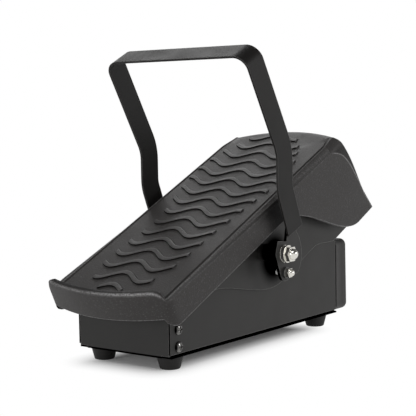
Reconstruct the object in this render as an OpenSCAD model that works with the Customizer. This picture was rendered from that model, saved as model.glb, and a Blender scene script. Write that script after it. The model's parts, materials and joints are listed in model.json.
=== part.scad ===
// TIG welder foot pedal: a rocking tread on a sheet-metal base, with a bail handle.
// +X is the right side, +Y runs from the heel to the toe, +Z is up.
// The origin is on the floor, in the middle of the pedal's length and width.

/* [Base] */
// Width across the side panels
base_w = 105; // [95:1:115]
// Length from the front wall to the seam of the rear cap
base_l = 269; // [255:1:280]
// Thickness of the folded sheet
sheet_t = 1.5; // [1:0.1:2]
// Height of the base's rear end above its bottom plate
base_h = 73; // [67:1:77]
// Dark gap under the side panels
panel_gap = 1.7; // [1:0.1:2.5]
// Width of the flanges that are folded inward
flange_w = 10; // [9:0.5:10]
// Height of the front wall above the bottom plate
front_h = 40; // [36:1:42]
// Depth of the moulded rear cap
cap_depth = 26; // [22:1:32]
// Wall of the rear cap
cap_wall = 2.5; // [2:0.1:3]
// Corner radius of the rear cap
cap_round = 8; // [5:0.5:10]
// Radius of the cap's long edges
cap_edge_r = 4; // [2:0.5:6]

/* [Feet] */
// Height of a rubber foot
foot_h = 12; // [8:1:17]
// Diameter of a foot where it meets the base
foot_top_d = 24; // [21:1:28]
// Diameter of a foot on the floor
foot_low_d = 18.5; // [16:0.5:20]
// Distance of the feet from the middle line
foot_x = 38; // [32:1:38]
// Distance of the feet from the ends of the base
foot_inset = 17; // [15:1:24]

/* [Tread cover] */
// Slope of the tread at rest, in degrees
tread_slope = 24.8; // [23:0.1:26]
// Height of the tread plane above the base's front wall
tread_z = 74.7; // [74:0.1:78]
// Width across the cover's skirts
cover_w = 136; // [134:1:142]
// Wall of the cover
cover_wall = 3.5; // [2.5:0.1:4]
// Width between the two grooves beside the tread
tread_w = 125.6; // [123:0.1:127]
// Drop of the rounded shoulder outside the grooves
shoulder_drop = 7; // [5:0.5:9]
// Width of a groove
groove_w = 2; // [1.2:0.1:2.2]
// Depth of the skirt beside the heel
skirt_front = 25.5; // [24:0.5:28]
// Depth of the skirt below the toe
skirt_rear = 93.4; // [90:0.2:96]
// Length of the tread from its reference line to the toe
toe_reach = 298.5; // [294:0.5:302]
// Radius of the toe's outline, seen square to the tread
toe_r = 161.6; // [150:0.2:180]
// Lean of the toe's rear face, in degrees
toe_lean = 14.8; // [12:0.2:18]
// Radius of the toe's upper edge
toe_round = 15; // [10:0.5:18]

/* [Heel lip] */
// Reach of the lip in front of the reference line
lip_reach = 34.4; // [33:0.2:38]
// Radius of the lip's outline, seen square to the tread
lip_r = 197; // [180:1:220]
// Height of the lip above the tread
lip_h = 10; // [8:0.5:11]
// Thickness of the lip
lip_t = 7; // [7:0.5:9]
// Depth of the lip's face below the tread
lip_drop = 16.6; // [15:0.2:19]
// Radius of the lip's upper outer edge
lip_round = 4.5; // [2:0.5:4.5]
// Radius of the lip's ends, seen from the front
lip_end_r = 9; // [7:0.5:12]
// Radius of the heel's corners, seen square to the tread
heel_corner_r = 9; // [6:0.5:12]

/* [Tread ribs] */
// Number of wavy ribs
rib_count = 16; // [12:1:16]
// Distance from rib to rib
rib_pitch = 19.05; // [18.5:0.05:19.1]
// Front edge of the first rib, from the reference line
rib_first = -13; // [-14:0.5:-10]
// Width of a rib
rib_w = 7.5; // [5:0.5:9]
// Height of a rib
rib_h = 1.2; // [0.8:0.1:2]
// Half the height of the wave
wave_h = 6; // [4:0.5:7]
// Length of one wave
wave_l = 52; // [44:1:60]

/* [Pedal frame] */
// Distance of the frame's plate below the tread
frame_drop = 12; // [11:0.5:13]
// Gap between the base's panels and the frame's side plates
frame_gap = 1; // [0.8:0.1:1.5]
// Depth of the side plates at the heel
plate_front = 30; // [28:0.5:32]
// Depth of the side plates behind the axle
plate_mid = 85.5; // [82:0.5:88]
// Depth of the side plates at the toe
plate_rear = 99; // [96:0.5:102]
// Front end of the frame, from the reference line
frame_start = -8; // [-10:1:0]
// Rear end of the frame's plate, from the reference line
frame_end = 262; // [255:1:266]

/* [Axle] */
// Distance of the axle from the base's front wall
axle_y = 134; // [128:0.5:140]
// Height of the axle above the floor
axle_z = 89.2; // [86:0.1:92]
// Diameter of the axle
axle_d = 8; // [6:0.5:8]
// Radial running clearance on the axle and its bushes
run_fit = 0.06; // [0.03:0.01:0.09]
// Diameter of a pivot bush
bush_d = 12; // [11:0.5:14]
// Diameter of the tube between frame and handle
spacer_d = 16; // [14:0.5:20]
// Size of the axle's nuts across flats
axle_nut_af = 13; // [11:0.5:14]
// Diameter of the axle's washers
washer_d = 16; // [15:0.5:20]
// Thickness of a washer
washer_t = 1.6; // [1:0.1:2]
// Thickness of a spring washer
lock_washer_t = 2; // [1.5:0.1:2.5]

/* [Handle] */
// Width across the handle
bail_w = 162.2; // [160:0.2:174]
// Width of the strap
strap_w = 24.2; // [20:0.2:26]
// Thickness of the strap
strap_t = 2; // [1.5:0.1:3]
// Height of the handle's upper bend above the axle
bail_upper_z = 94.6; // [90:0.2:98]
// Height of the handle's lower bend above the axle
bail_lower_z = 59.5; // [56:0.5:64]
// Length of the leaning leg above the upper bend
bail_leg = 101.5; // [95:0.5:110]
// Lean of that leg towards the heel, in degrees
bail_lean = 29.6; // [24:0.2:32]
// Tilt of the crossbar's flat, in degrees
bar_tilt = 26.5; // [22:0.5:30]
// Outer radius of the handle's corners
bail_bend_r = 14; // [10:0.5:18]
// Thickness of an ear plate
ear_t = 3; // [2:0.1:4]
// Radius of an ear plate's rear edge
ear_r = 28.5; // [26:0.5:30]
// Distance of the lock stud below the axle
stud_drop = 17.8; // [17:0.2:19]
// Distance of the lock stud behind the axle
stud_back = 2.7; // [2:0.1:4]
// Diameter of the lock stud
stud_d = 5; // [4:0.5:5]

/* [Drive] */
// Full travel of the tread, in degrees
tread_travel = 14; // [8:1:14]
// Gear module
gear_m = 1; // [1:0.05:1.05]
// Teeth of the full sector circle
sector_teeth = 80; // [76:1:84]
// Teeth of the pinion
pinion_teeth = 16; // [14:1:18]
// Direction from the axle to the pinion, in degrees from +Y
pinion_dir = 231; // [228:1:234]
// Diameter of the potentiometer's shaft
pot_shaft_d = 6; // [5:0.25:6.25]
// Outer diameter of the return spring
spring_d = 20; // [16:1:22]
// Diameter of the spring's wire
spring_wire = 2.2; // [1.6:0.1:2.6]
// Turns of the spring
spring_turns = 7; // [5:1:8]

/* [Cable inlet] */
// Bore of the gland
gland_bore = 7; // [5:0.5:8]
// Outer diameter of the gland's thread
gland_thread_d = 15.8; // [15:0.2:16]
// Height of the gland above the floor
gland_z = 40; // [34:1:46]

/* [Hidden] */
$fn = 64;
eps = 0.01;
// Clearance of a screw in its hole, on the radius
hole_fit = 0.1;
// Gap that keeps resting pieces of different bodies apart
rest_gap = 0.3;
far = 400;

// Levels and planes of the base
floor_z = foot_h + sheet_t;
panel_x = base_w / 2 - sheet_t;
base_top = foot_h + base_h + sheet_t;
front_top = foot_h + front_h + sheet_t;
cap_rear = base_l + cap_depth;
stop_flange_top = base_top + 3.5;
plate_overhang = 1.5;
front_tab_l = 18;
rear_tab_w = 18;
web_lap = 5;
relief = [10, 2];

// Planes across the axle, from the middle outwards
frame_x0 = base_w / 2 + frame_gap;
frame_x1 = frame_x0 + sheet_t;
bush_end = frame_x1 + 0.4;
ear_x1 = bail_w / 2 - strap_t;
ear_x0 = ear_x1 - ear_t;
washer_x1 = ear_x1 + washer_t;
washer_x2 = washer_x1 + lock_washer_t;
nut_x = washer_x2 + washer_t;
nut_hex_h = 4.5;
nut_dome_r = 0.4 * axle_nut_af;
lock_nut_h = 6.5;
axle_end = nut_x + nut_hex_h - 0.5;

// Places on the tread's own plane: s runs up the slope and n is square to it
function tread_y(s, n) = s * cos(tread_slope) - n * sin(tread_slope);
function tread_h(s, n) = tread_z + s * sin(tread_slope) + n * cos(tread_slope);
axle_s = axle_y * cos(tread_slope) + (axle_z - tread_z) * sin(tread_slope);
axle_n = -axle_y * sin(tread_slope) + (axle_z - tread_z) * cos(tread_slope);

// The model is centred between the lip's foremost and the toe's rearmost point
lip_y = tread_y(lip_round - lip_reach, lip_h - lip_round) - lip_round;
toe_y = tread_y(toe_reach + skirt_rear * tan(toe_lean), -skirt_rear);
origin_y = (lip_y + toe_y) / 2;

// Screws
m3_d = 3;
m4_d = 4;
m3_head = [5.6, 2];
m4_head = [8.2, 2.6];
panel_screw_d = 5;
panel_head = [9.6, 2.8];
panel_screw_y = 11.3;
panel_screw_z = [21.2, 36.2];
cap_screw_x = 40;
cap_screw_z = [30, 72];
cap_boss_d = 8;
cover_screw_x = 38;
cover_screw_s = [20, frame_end / 2, frame_end - 27];
boss_d = 9;

// Rocker and sector
rocker_x = 15;
rocker_t = 2;
rocker_s = [axle_s - 22, axle_s + 37];
spring_y = axle_y + 52;
spring_foot = [axle_y + 39, axle_y + 65];
spring_top = 60;
seat_t = 1.5;
seat_d = 26;
rocker_top = -frame_drop - sheet_t;
rocker_screw_s = [axle_s - 16, axle_s + 29];
sector_t = 4;
sector_screw_dz = 16;
sector_screw_dy = 5;
sector_r = gear_m * sector_teeth / 2;
pinion_r = gear_m * pinion_teeth / 2;
pinion_y = axle_y + (sector_r + pinion_r) * cos(pinion_dir);
pinion_z = axle_z + (sector_r + pinion_r) * sin(pinion_dir);
pinion_x = [rocker_x - 0.5, rocker_x + sector_t + 0.5];

// Potentiometer
pot_bracket_x = 24;
pot_bracket_t = 2;
pot_d = 24;
pot_h = 12;
pot_thread_d = pot_shaft_d + 1.5;
pot_bracket_w = 28;

// Switch
switch_x = [-33, -22.7];
switch_l = 28;
switch_h = 16;
switch_y = axle_y - 13;
switch_z = 57;
lever_y = switch_y + 3.5;
lever_z = switch_z + switch_h + 3;
lever_l = 34;
lever_t = 0.8;
lever_rise = 6.7;
lever_pin_d = 1.6;
plunger_d = 3;
plunger_deep = 1.6;
plunger_y = switch_y + 12;
plunger_top = lever_z + (plunger_y - lever_y) * tan(lever_rise) - 0.35;
striker_y = axle_y + 21;
striker_d = 5;
lever_top = lever_z + (striker_y - lever_y) * tan(lever_rise) + lever_t / cos(lever_rise);
striker_z = lever_top + striker_d / 2 + 0.45;

// Stops
heel_stop_x = 30;
heel_stop_y = 11;
stop_r = 6;
toe_stop_x = panel_x - stop_r - 0.5;
brace_s = [axle_s + 112, axle_s + 126];
brace_n = -58;
brace_t = 2;

// Terminals
terminal_y = base_l - 37;
terminal_n = 6;
terminal_pitch = 8;
terminal_h = 13;

// Gland
gland_af = 19;
gland_flange = 5;
gland_cap_l = 12;
gland_nut_h = 4;

// Shared helpers

function smooth(t) = t <= 0 ? 0 : t >= 1 ? 1 : t * t * (3 - 2 * t);

function arc(centre, r, from, to, steps) =
    [for (i = [0:steps]) centre + r * [cos(from + (to - from) * i / steps), sin(from + (to - from) * i / steps)]];

function unit(v) = v / norm(v);

// Points of a round corner of radius r at b, on the way from a to c
function corner(a, b, c, r, steps) =
    let (u = unit(a - b), v = unit(c - b), half = acos(u * v) / 2)
    let (centre = b + unit(u + v) * r / sin(half), p = b + u * r / tan(half), q = b + v * r / tan(half))
    [for (i = [0:steps]) centre + r * unit((p - centre) * (1 - i / steps) + (q - centre) * i / steps)];

// Outline of a strip of width w along a path
function strip(path, w) =
    let (n = len(path))
    let (side = [for (i = [0:n - 1])
        let (d = unit(path[min(i + 1, n - 1)] - path[max(i - 1, 0)])) [-d[1], d[0]] * w / 2])
    concat([for (i = [0:n - 1]) path[i] + side[i]], [for (i = [n - 1:-1:0]) path[i] - side[i]]);

// Moves a piece from the front wall's frame to the model's frame
module place() {
    translate([0, -origin_y, 0]) children();
}

// Moves a piece from the tread's plane to the front wall's frame
module on_tread() {
    translate([0, 0, tread_z]) rotate([tread_slope, 0, 0]) children();
}

// Extrudes a side view, drawn as Y and Z, from x0 to x1
module side_view(x0, x1) {
    translate([x0, 0, 0]) rotate([90, 0, 90]) linear_extrude(x1 - x0) children();
}

module both_sides() {
    children();
    mirror([1, 0, 0]) children();
}

// A round bar along X
module bar_x(x0, x1, y, z, d) {
    translate([x0, y, z]) rotate([0, 90, 0]) cylinder(d = d, h = x1 - x0);
}

// A hexagonal bar along X with flats above and below
module hex_x(x0, x1, y, z, af) {
    translate([x0, y, z]) rotate([0, 90, 0]) rotate([0, 0, 90]) cylinder(d = af / cos(30), h = x1 - x0, $fn = 6);
}

module rounded_square(size, r) {
    translate([r, 0]) square([size[0] - 2 * r, size[1]]);
    translate([0, r]) square([size[0], size[1] - 2 * r]);
    for (x = [r, size[0] - r], y = [r, size[1] - r]) translate([x, y]) circle(r);
}

// A pan-head screw along +Z with its seat at the origin and a cross recess in its head
module pan_screw(d, head, length) {
    difference() {
        union() {
            translate([0, 0, -length]) cylinder(d = d, h = length + eps);
            intersection() {
                cylinder(d = head[0], h = head[1]);
                translate([0, 0, head[1] - head[0] * 0.72]) sphere(head[0] * 0.72);
            }
        }
        for (a = [0, 90]) rotate(a) {
            translate([-head[0] * 0.3, -head[0] * 0.07, head[1] * 0.45])
                cube([head[0] * 0.6, head[0] * 0.14, head[1]]);
        }
    }
}

module hex_nut_x(x0, x1, y, z, af, bore) {
    difference() {
        hex_x(x0, x1, y, z, af);
        bar_x(x0 - 1, x1 + 1, y, z, bore);
    }
}

// A low cap nut along +X: hexagon, dome and blind bore
module cap_nut_x(x0, y, z, af, hex_h, dome_r, bore) {
    difference() {
        union() {
            hex_x(x0, x0 + hex_h, y, z, af);
            translate([x0, y, z]) rotate([0, 90, 0])
                rotate_extrude() polygon(concat([[0, 0]], arc([0, hex_h], dome_r, 0, 90, 10)));
        }
        bar_x(x0 - 1, x0 + hex_h, y, z, bore);
    }
}

// Base

module base_tray() color([0.16, 0.16, 0.16]) place() difference() {
    union() {
        translate([-base_w / 2, 0, foot_h]) cube([base_w, base_l + plate_overhang, sheet_t]);
        translate([-panel_x, 0, foot_h]) cube([2 * panel_x, sheet_t, front_top - foot_h]);
        translate([-panel_x + flange_w, 0, front_top - sheet_t])
            cube([2 * (panel_x - flange_w), heel_stop_y + stop_r + 3, sheet_t]);
        both_sides() translate([panel_x - sheet_t, 0, floor_z + sheet_t + panel_gap])
            cube([sheet_t, front_tab_l, front_top - floor_z - 2 * sheet_t - panel_gap]);
    }
    both_sides() {
        translate([base_w / 2 - relief[0], -1, foot_h - 1]) cube([relief[0] + 1, sheet_t + 1, relief[1] + 1]);
        for (z = panel_screw_z) bar_x(panel_x - 3 * sheet_t, base_w, panel_screw_y, z, panel_screw_d + 2 * hole_fit);
        for (y = foot_rows()) translate([foot_x, y, foot_h - 1]) cylinder(d = m4_d + 2 * hole_fit, h = 3 * sheet_t);
    }
}

function foot_rows() = [foot_inset, base_l - foot_inset];

// Upper edge of a side panel: it follows the tread, carries the axle and ends at the rear cap
function panel_outline() =
    let (low = floor_z + panel_gap, drop = -frame_drop - 6, ear_z = axle_z + 15)
    let (edge_s = (ear_z - tread_z - drop * cos(tread_slope)) / sin(tread_slope))
    let (start_z = tread_z + drop / cos(tread_slope))
    [[0, low], [base_l, low], [base_l, base_top], [base_l - 7, base_top], [base_l - 9, stop_flange_top],
     [axle_y + 42, stop_flange_top], [axle_y + 20, ear_z], [tread_y(edge_s, drop), ear_z], [0, start_z]];

module side_panel() {
    difference() {
        union() {
            side_view(panel_x, base_w / 2) polygon(panel_outline());
            translate([panel_x - flange_w, front_tab_l + 2, floor_z])
                cube([flange_w, base_l - front_tab_l - 2, sheet_t]);
            translate([panel_x - sheet_t, front_tab_l + 2, floor_z])
                cube([sheet_t, base_l - front_tab_l - 2, panel_gap + web_lap]);
            translate([panel_x - rear_tab_w, base_l - sheet_t, floor_z]) cube([rear_tab_w + eps, sheet_t, base_h - 2]);
            translate([panel_x - flange_w, toe_stop_y() - 14, stop_flange_top - sheet_t])
                cube([flange_w + eps, 24, sheet_t]);
        }
        bar_x(panel_x - 5, base_w, axle_y, axle_z, axle_d + 2 * run_fit);
        for (z = panel_screw_z) bar_x(panel_x - 5, base_w, panel_screw_y, z, panel_screw_d + 2 * hole_fit);
        for (z = cap_screw_z) translate([cap_screw_x, base_l + 1, z]) rotate([90, 0, 0])
            cylinder(d = m4_d + 2 * hole_fit, h = 3 * sheet_t);
        for (y = foot_rows()) translate([foot_x, y, foot_h]) cylinder(d = m4_d + 2 * hole_fit, h = 4 * sheet_t);
    }
}

module side_panel_right() color([0.23, 0.23, 0.22]) place() side_panel();

module side_panel_left() color([0.23, 0.23, 0.22]) place() mirror([1, 0, 0]) side_panel();

module panel_screws() color([0.05, 0.05, 0.05]) place() both_sides() {
    for (z = panel_screw_z) translate([base_w / 2, panel_screw_y, z]) rotate([0, 90, 0])
        pan_screw(panel_screw_d, panel_head, 8);
}

// Outside or inside form of the rear cap
module cap_form(inset) {
    h = base_top - floor_z;
    intersection() {
        translate([-base_w / 2 + inset, base_l - 2 * cap_round, floor_z - 1])
            linear_extrude(h + 2)
                rounded_square([base_w - 2 * inset, cap_depth + 2 * cap_round - inset], cap_round - inset / 2);
        side_view(-base_w, base_w) translate([base_l - 2 * cap_round, floor_z + inset])
            rounded_square([cap_depth + 2 * cap_round - inset, h - 2 * inset], cap_round - inset / 2);
        translate([-base_w / 2 + inset, 2 * base_l, floor_z + inset]) rotate([90, 0, 0]) linear_extrude(2 * base_l)
            rounded_square([base_w - 2 * inset, h - 2 * inset], cap_edge_r - inset / 2);
    }
}

module rear_cap() color([0.27, 0.27, 0.27]) place() difference() {
    union() {
        difference() {
            cap_form(0);
            cap_form(cap_wall);
        }
        intersection() {
            cap_form(0);
            both_sides() for (z = cap_screw_z) translate([cap_screw_x, cap_rear, z]) rotate([90, 0, 0])
                cylinder(d = cap_boss_d, h = cap_depth + 1);
        }
    }
    translate([-base_w, base_l - 4 * cap_round, 0]) cube([2 * base_w, 4 * cap_round, far]);
    both_sides() for (z = cap_screw_z) translate([cap_screw_x, cap_rear + 1, z]) rotate([90, 0, 0])
        cylinder(d = m4_d + 2 * hole_fit, h = cap_depth + 3);
    translate([0, cap_rear + 1, gland_z]) rotate([90, 0, 0])
        cylinder(d = gland_thread_d + 2 * hole_fit, h = 3 * cap_wall);
}

module cap_screws() color([0.05, 0.05, 0.05]) place() both_sides() {
    for (z = cap_screw_z) translate([cap_screw_x, cap_rear, z]) rotate([-90, 0, 0])
        pan_screw(m4_d, m4_head, cap_depth + 6);
}

// Cable gland in the rear cap

module gland_body() color([0.09, 0.09, 0.09]) place() translate([0, cap_rear, gland_z]) rotate([-90, 0, 0])
    difference() {
        union() {
            cylinder(d = gland_af / cos(30), h = gland_flange, $fn = 6);
            translate([0, 0, -cap_wall - gland_nut_h - 2])
                cylinder(d = gland_thread_d, h = cap_wall + gland_nut_h + 2 + eps);
        }
        translate([0, 0, -20]) cylinder(d = gland_bore, h = 40);
    }

module gland_cap() color([0.09, 0.09, 0.09]) place()
    translate([0, cap_rear + gland_flange, gland_z]) rotate([-90, 0, 0])
        difference() {
            union() {
                cylinder(d = gland_af * 0.95, h = gland_cap_l - 4);
                translate([0, 0, gland_cap_l - 4]) cylinder(d1 = gland_af * 0.95, d2 = gland_bore + 4, h = 4);
            }
            translate([0, 0, -1]) cylinder(d = gland_bore, h = gland_cap_l + 2);
        }

module gland_locknut() color([0.09, 0.09, 0.09]) place()
    translate([0, cap_rear - cap_wall - gland_nut_h, gland_z]) rotate([-90, 0, 0])
        difference() {
            cylinder(d = (gland_af + 2) / cos(30), h = gland_nut_h, $fn = 6);
            translate([0, 0, -1]) cylinder(d = gland_thread_d + 2 * hole_fit, h = gland_nut_h + 2);
        }

// Feet

foot_seat = 0.45 * foot_h;

module each_foot() {
    both_sides() for (y = foot_rows()) translate([foot_x, y, 0]) children();
}

module feet() color([0.07, 0.07, 0.07]) place() each_foot() difference() {
    rotate_extrude() polygon(concat([[0, 0]],
        arc([foot_low_d / 2 - 1.5, 1.5], 1.5, -90, -10, 6), [[foot_top_d / 2, foot_h], [0, foot_h]]));
    translate([0, 0, -1]) cylinder(d = m4_head[0] + 1.2, h = foot_seat + 1);
    translate([0, 0, foot_seat - 1]) cylinder(d = m4_d + 2 * hole_fit, h = foot_h);
}

module foot_screws() color([0.6, 0.6, 0.6]) place() each_foot() translate([0, 0, foot_seat]) rotate([180, 0, 0])
    pan_screw(m4_d, m4_head, foot_h - foot_seat + 3 * sheet_t + 2);

// Axle and what it carries

module axle() color([0.7, 0.7, 0.7]) place() bar_x(-axle_end, axle_end, axle_y, axle_z, axle_d);

axle_hole = axle_d + 2 * run_fit;

module axle_lock_nuts() color([0.7, 0.7, 0.7]) place() both_sides()
    hex_nut_x(panel_x - lock_nut_h, panel_x, axle_y, axle_z, axle_nut_af, axle_hole);

module pivot_bushes() color([0.75, 0.62, 0.35]) place() both_sides() difference() {
    union() {
        bar_x(base_w / 2, frame_x0 - 0.2, axle_y, axle_z, bush_d + 6);
        bar_x(base_w / 2, bush_end, axle_y, axle_z, bush_d);
    }
    bar_x(base_w / 2 - 1, bush_end + 1, axle_y, axle_z, axle_hole);
}

module ring_x(x0, x1, d) {
    difference() {
        bar_x(x0, x1, axle_y, axle_z, d);
        bar_x(x0 - 1, x1 + 1, axle_y, axle_z, axle_hole);
    }
}

module handle_spacers() color([0.08, 0.08, 0.08]) place() both_sides() ring_x(bush_end, ear_x0, spacer_d);

module axle_washers() color([0.75, 0.75, 0.75]) place() both_sides() {
    ring_x(ear_x1, washer_x1, washer_d);
    ring_x(washer_x2, nut_x, washer_d);
}

module axle_spring_washers() color([0.3, 0.3, 0.3]) place() both_sides()
    difference() {
        ring_x(washer_x1, washer_x2, washer_d - 2);
        translate([washer_x1 - 1, axle_y - 0.6, axle_z]) cube([lock_washer_t + 2, 1.2, washer_d]);
    }

module axle_cap_nuts() color([0.8, 0.8, 0.78]) place() both_sides()
    cap_nut_x(nut_x, axle_y, axle_z, axle_nut_af, nut_hex_h, nut_dome_r, axle_hole);

// Stops

// A point of the side view after the tread has turned down by its full travel
function pressed(y, z) =
    [axle_y + (y - axle_y) * cos(tread_travel) + (z - axle_z) * sin(tread_travel),
     axle_z - (y - axle_y) * sin(tread_travel) + (z - axle_z) * cos(tread_travel)];

brace_mid = (brace_s[0] + brace_s[1]) / 2;
toe_touch = pressed(tread_y(brace_mid, brace_n - brace_t), tread_h(brace_mid, brace_n - brace_t));
function toe_stop_y() = toe_touch[0];

module heel_stops() color([0.06, 0.06, 0.06]) place() both_sides() {
    n = rocker_top - rest_gap - stop_r;
    s = (heel_stop_y + n * sin(tread_slope)) / cos(tread_slope);
    translate([heel_stop_x, heel_stop_y, front_top]) {
        cylinder(r = stop_r, h = tread_h(s, n) - front_top);
        intersection() {
            translate([0, 0, tread_h(s, n) - front_top]) sphere(stop_r);
            cylinder(r = stop_r, h = far);
        }
    }
}

module toe_stops() color([0.06, 0.06, 0.06]) place() both_sides()
    translate([toe_stop_x, toe_stop_y(), stop_flange_top])
        cylinder(r1 = stop_r - 0.5, r2 = stop_r - 1.5,
            h = toe_touch[1] - rest_gap - stop_flange_top - stop_r * tan(tread_slope - tread_travel));

// Potentiometer

module pot_bracket() color([0.55, 0.55, 0.55]) place() difference() {
    union() {
        translate([pot_bracket_x, pinion_y - pot_bracket_w / 2, floor_z])
            cube([pot_bracket_t, pot_bracket_w, pinion_z + pot_d / 2 + 2 - floor_z]);
        translate([pot_bracket_x + pot_bracket_t - 14, pinion_y - pot_bracket_w / 2, floor_z])
            cube([14, pot_bracket_w, pot_bracket_t]);
    }
    bar_x(pot_bracket_x - 1, pot_bracket_x + 3, pinion_y, pinion_z, pot_thread_d + 2 * hole_fit);
}

module pot_body() color([0.2, 0.32, 0.2]) place() difference() {
    union() {
        bar_x(pot_bracket_x + pot_bracket_t, pot_bracket_x + pot_bracket_t + pot_h, pinion_y, pinion_z, pot_d);
        bar_x(pinion_x[1] + 0.4, pot_bracket_x + pot_bracket_t + eps, pinion_y, pinion_z, pot_thread_d);
        for (dy = [-6, 0, 6]) translate([pot_bracket_x + pot_bracket_t + 4, pinion_y + dy - 1.5, pinion_z - pot_d / 2 - 5])
            cube([1, 3, 9]);
    }
    bar_x(0, pot_bracket_x + pot_bracket_t + pot_h - 4, pinion_y, pinion_z, pot_shaft_d + 2 * run_fit);
}

module pot_nut() color([0.75, 0.75, 0.75]) place()
    hex_nut_x(pot_bracket_x - 2.2, pot_bracket_x, pinion_y, pinion_z, pot_thread_d + 3, pot_thread_d + 2 * hole_fit);

module pot_shaft() color([0.8, 0.8, 0.8]) place()
    bar_x(pinion_x[0], pot_bracket_x + pot_bracket_t + pot_h - 5, pinion_y, pinion_z, pot_shaft_d);

// Gear teeth as a side view: each tooth is a trapezium thinner than half its pitch
module tooth(r, angle) {
    root = r - 1.3 * gear_m;
    tip = r + 0.8 * gear_m;
    rotate(angle) polygon([[root, -gear_m * 1.05], [r, -gear_m * 0.62], [tip, -gear_m * 0.34],
        [tip, gear_m * 0.34], [r, gear_m * 0.62], [root, gear_m * 1.05]]);
}

module pot_pinion() color([0.85, 0.85, 0.8]) place() difference() {
    side_view(pinion_x[0], pinion_x[1]) translate([pinion_y, pinion_z]) {
        circle(pinion_r - 1.2 * gear_m);
        for (i = [0:pinion_teeth - 1]) tooth(pinion_r, pinion_dir + 180 + (i + 0.5) * 360 / pinion_teeth);
    }
    bar_x(0, far, pinion_y, pinion_z, pot_shaft_d + 2 * hole_fit);
}

module sector_gear() color([0.7, 0.65, 0.5]) place() difference() {
    step = 360 / sector_teeth;
    root = sector_r - 1.2 * gear_m;
    last = ceil(tread_travel / step) + 1;
    side_view(rocker_x, rocker_x + sector_t) translate([axle_y, axle_z]) {
        circle(axle_d * 1.5);
        translate([-9, 0]) square([18, sector_screw_dz + 6]);
        polygon(concat([[0, 0]], arc([0, 0], root, pinion_dir - 1.7 * step, pinion_dir + (last + 0.7) * step, 12)));
        for (i = [-1:last]) tooth(sector_r, pinion_dir + i * step);
    }
    bar_x(0, far, axle_y, axle_z, axle_hole);
    for (dy = [-1, 1]) bar_x(0, far, axle_y + dy * sector_screw_dy, axle_z + sector_screw_dz, m3_d + 2 * hole_fit);
}

module sector_screws() color([0.7, 0.7, 0.7]) place() for (dy = [-1, 1])
    translate([rocker_x + sector_t, axle_y + dy * sector_screw_dy, axle_z + sector_screw_dz]) rotate([0, 90, 0])
        pan_screw(m3_d, m3_head, sector_t + rocker_t + 1);

// Switch

module switch_bracket() color([0.55, 0.55, 0.55]) place() difference() {
    union() {
        translate([switch_x[0] - 2, switch_y - 3, floor_z]) cube([2, switch_l + 6, switch_z + switch_h - floor_z]);
        translate([switch_x[0] - 2, switch_y - 3, floor_z]) cube([14, switch_l + 6, 2]);
    }
    switch_holes(switch_x[0] - 3, m3_d);
}

module switch_holes(x0, d) {
    for (end = [4, switch_l - 4]) bar_x(x0, switch_x[1] + 1, switch_y + end, switch_z + 4, d + 2 * hole_fit);
}

module switch_body() color([0.12, 0.12, 0.12]) place() difference() {
    union() {
        translate([switch_x[0], switch_y, switch_z]) cube([switch_x[1] - switch_x[0], switch_l, switch_h]);
        for (x = [switch_x[0] + 0.5, switch_x[1] - 2])
            translate([x, lever_y - 2, switch_z + switch_h - eps]) cube([1.5, 4, 5]);
        for (dy = [4, 14, 24]) translate([switch_x[0] + 4.5, switch_y + dy - 1.5, switch_z - 7]) cube([0.8, 3, 8]);
    }
    switch_holes(switch_x[0] - 1, m3_d);
    bar_x(switch_x[0] - 1, switch_x[1] + 1, lever_y, lever_z, lever_pin_d + 2 * run_fit);
    translate([(switch_x[0] + switch_x[1]) / 2, plunger_y, switch_z + switch_h - 2 * plunger_deep - 0.5])
        cylinder(d = plunger_d + 2 * hole_fit, h = 3 * plunger_deep);
}

module switch_screws() color([0.7, 0.7, 0.7]) place() for (end = [4, switch_l - 4])
    translate([switch_x[1], switch_y + end, switch_z + 4]) rotate([0, 90, 0]) pan_screw(m3_d, m3_head, 13);

module switch_lever() color([0.8, 0.8, 0.8]) place() {
    lever_x = [switch_x[0] + 2.4, switch_x[1] - 2.4];
    bar_x(switch_x[0] + 0.5, switch_x[1] - 0.5, lever_y, lever_z, lever_pin_d);
    translate([0, lever_y, lever_z]) rotate([lever_rise, 0, 0])
        translate([lever_x[0], 0, 0]) cube([lever_x[1] - lever_x[0], lever_l, lever_t]);
}

module switch_plunger() color([0.7, 0.2, 0.15]) place()
    translate([(switch_x[0] + switch_x[1]) / 2, plunger_y, switch_z + switch_h - plunger_deep])
        cylinder(d = plunger_d, h = plunger_top - switch_z - switch_h + plunger_deep);

module striker_pin() color([0.75, 0.75, 0.75]) place() bar_x(switch_x[0], -rocker_x + rocker_t, striker_y, striker_z, striker_d);

// Terminals

module terminal_strip() color([0.85, 0.85, 0.8]) place() difference() {
    w = terminal_n * terminal_pitch + 4;
    union() {
        translate([-w / 2, terminal_y - 9, floor_z]) cube([w, 18, 6]);
        translate([-w / 2, terminal_y - 6, floor_z]) cube([w, 12, terminal_h]);
    }
    for (i = [0:terminal_n - 1]) translate([terminal_x(i), terminal_y, floor_z + 4]) cylinder(d = 5.8, h = far);
}

function terminal_x(i) = (i - (terminal_n - 1) / 2) * terminal_pitch;

module terminal_screws() color([0.7, 0.7, 0.7]) place() for (i = [0:terminal_n - 1])
    translate([terminal_x(i), terminal_y, floor_z + 8]) pan_screw(m3_d, [5.4, 2], 4);

// Return spring

module spring_seat() color([0.5, 0.5, 0.5]) place() translate([0, spring_y, floor_z]) {
    cylinder(d = seat_d, h = seat_t);
    cylinder(d = spring_d - 2 * spring_wire - 3, h = 14);
}

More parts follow.
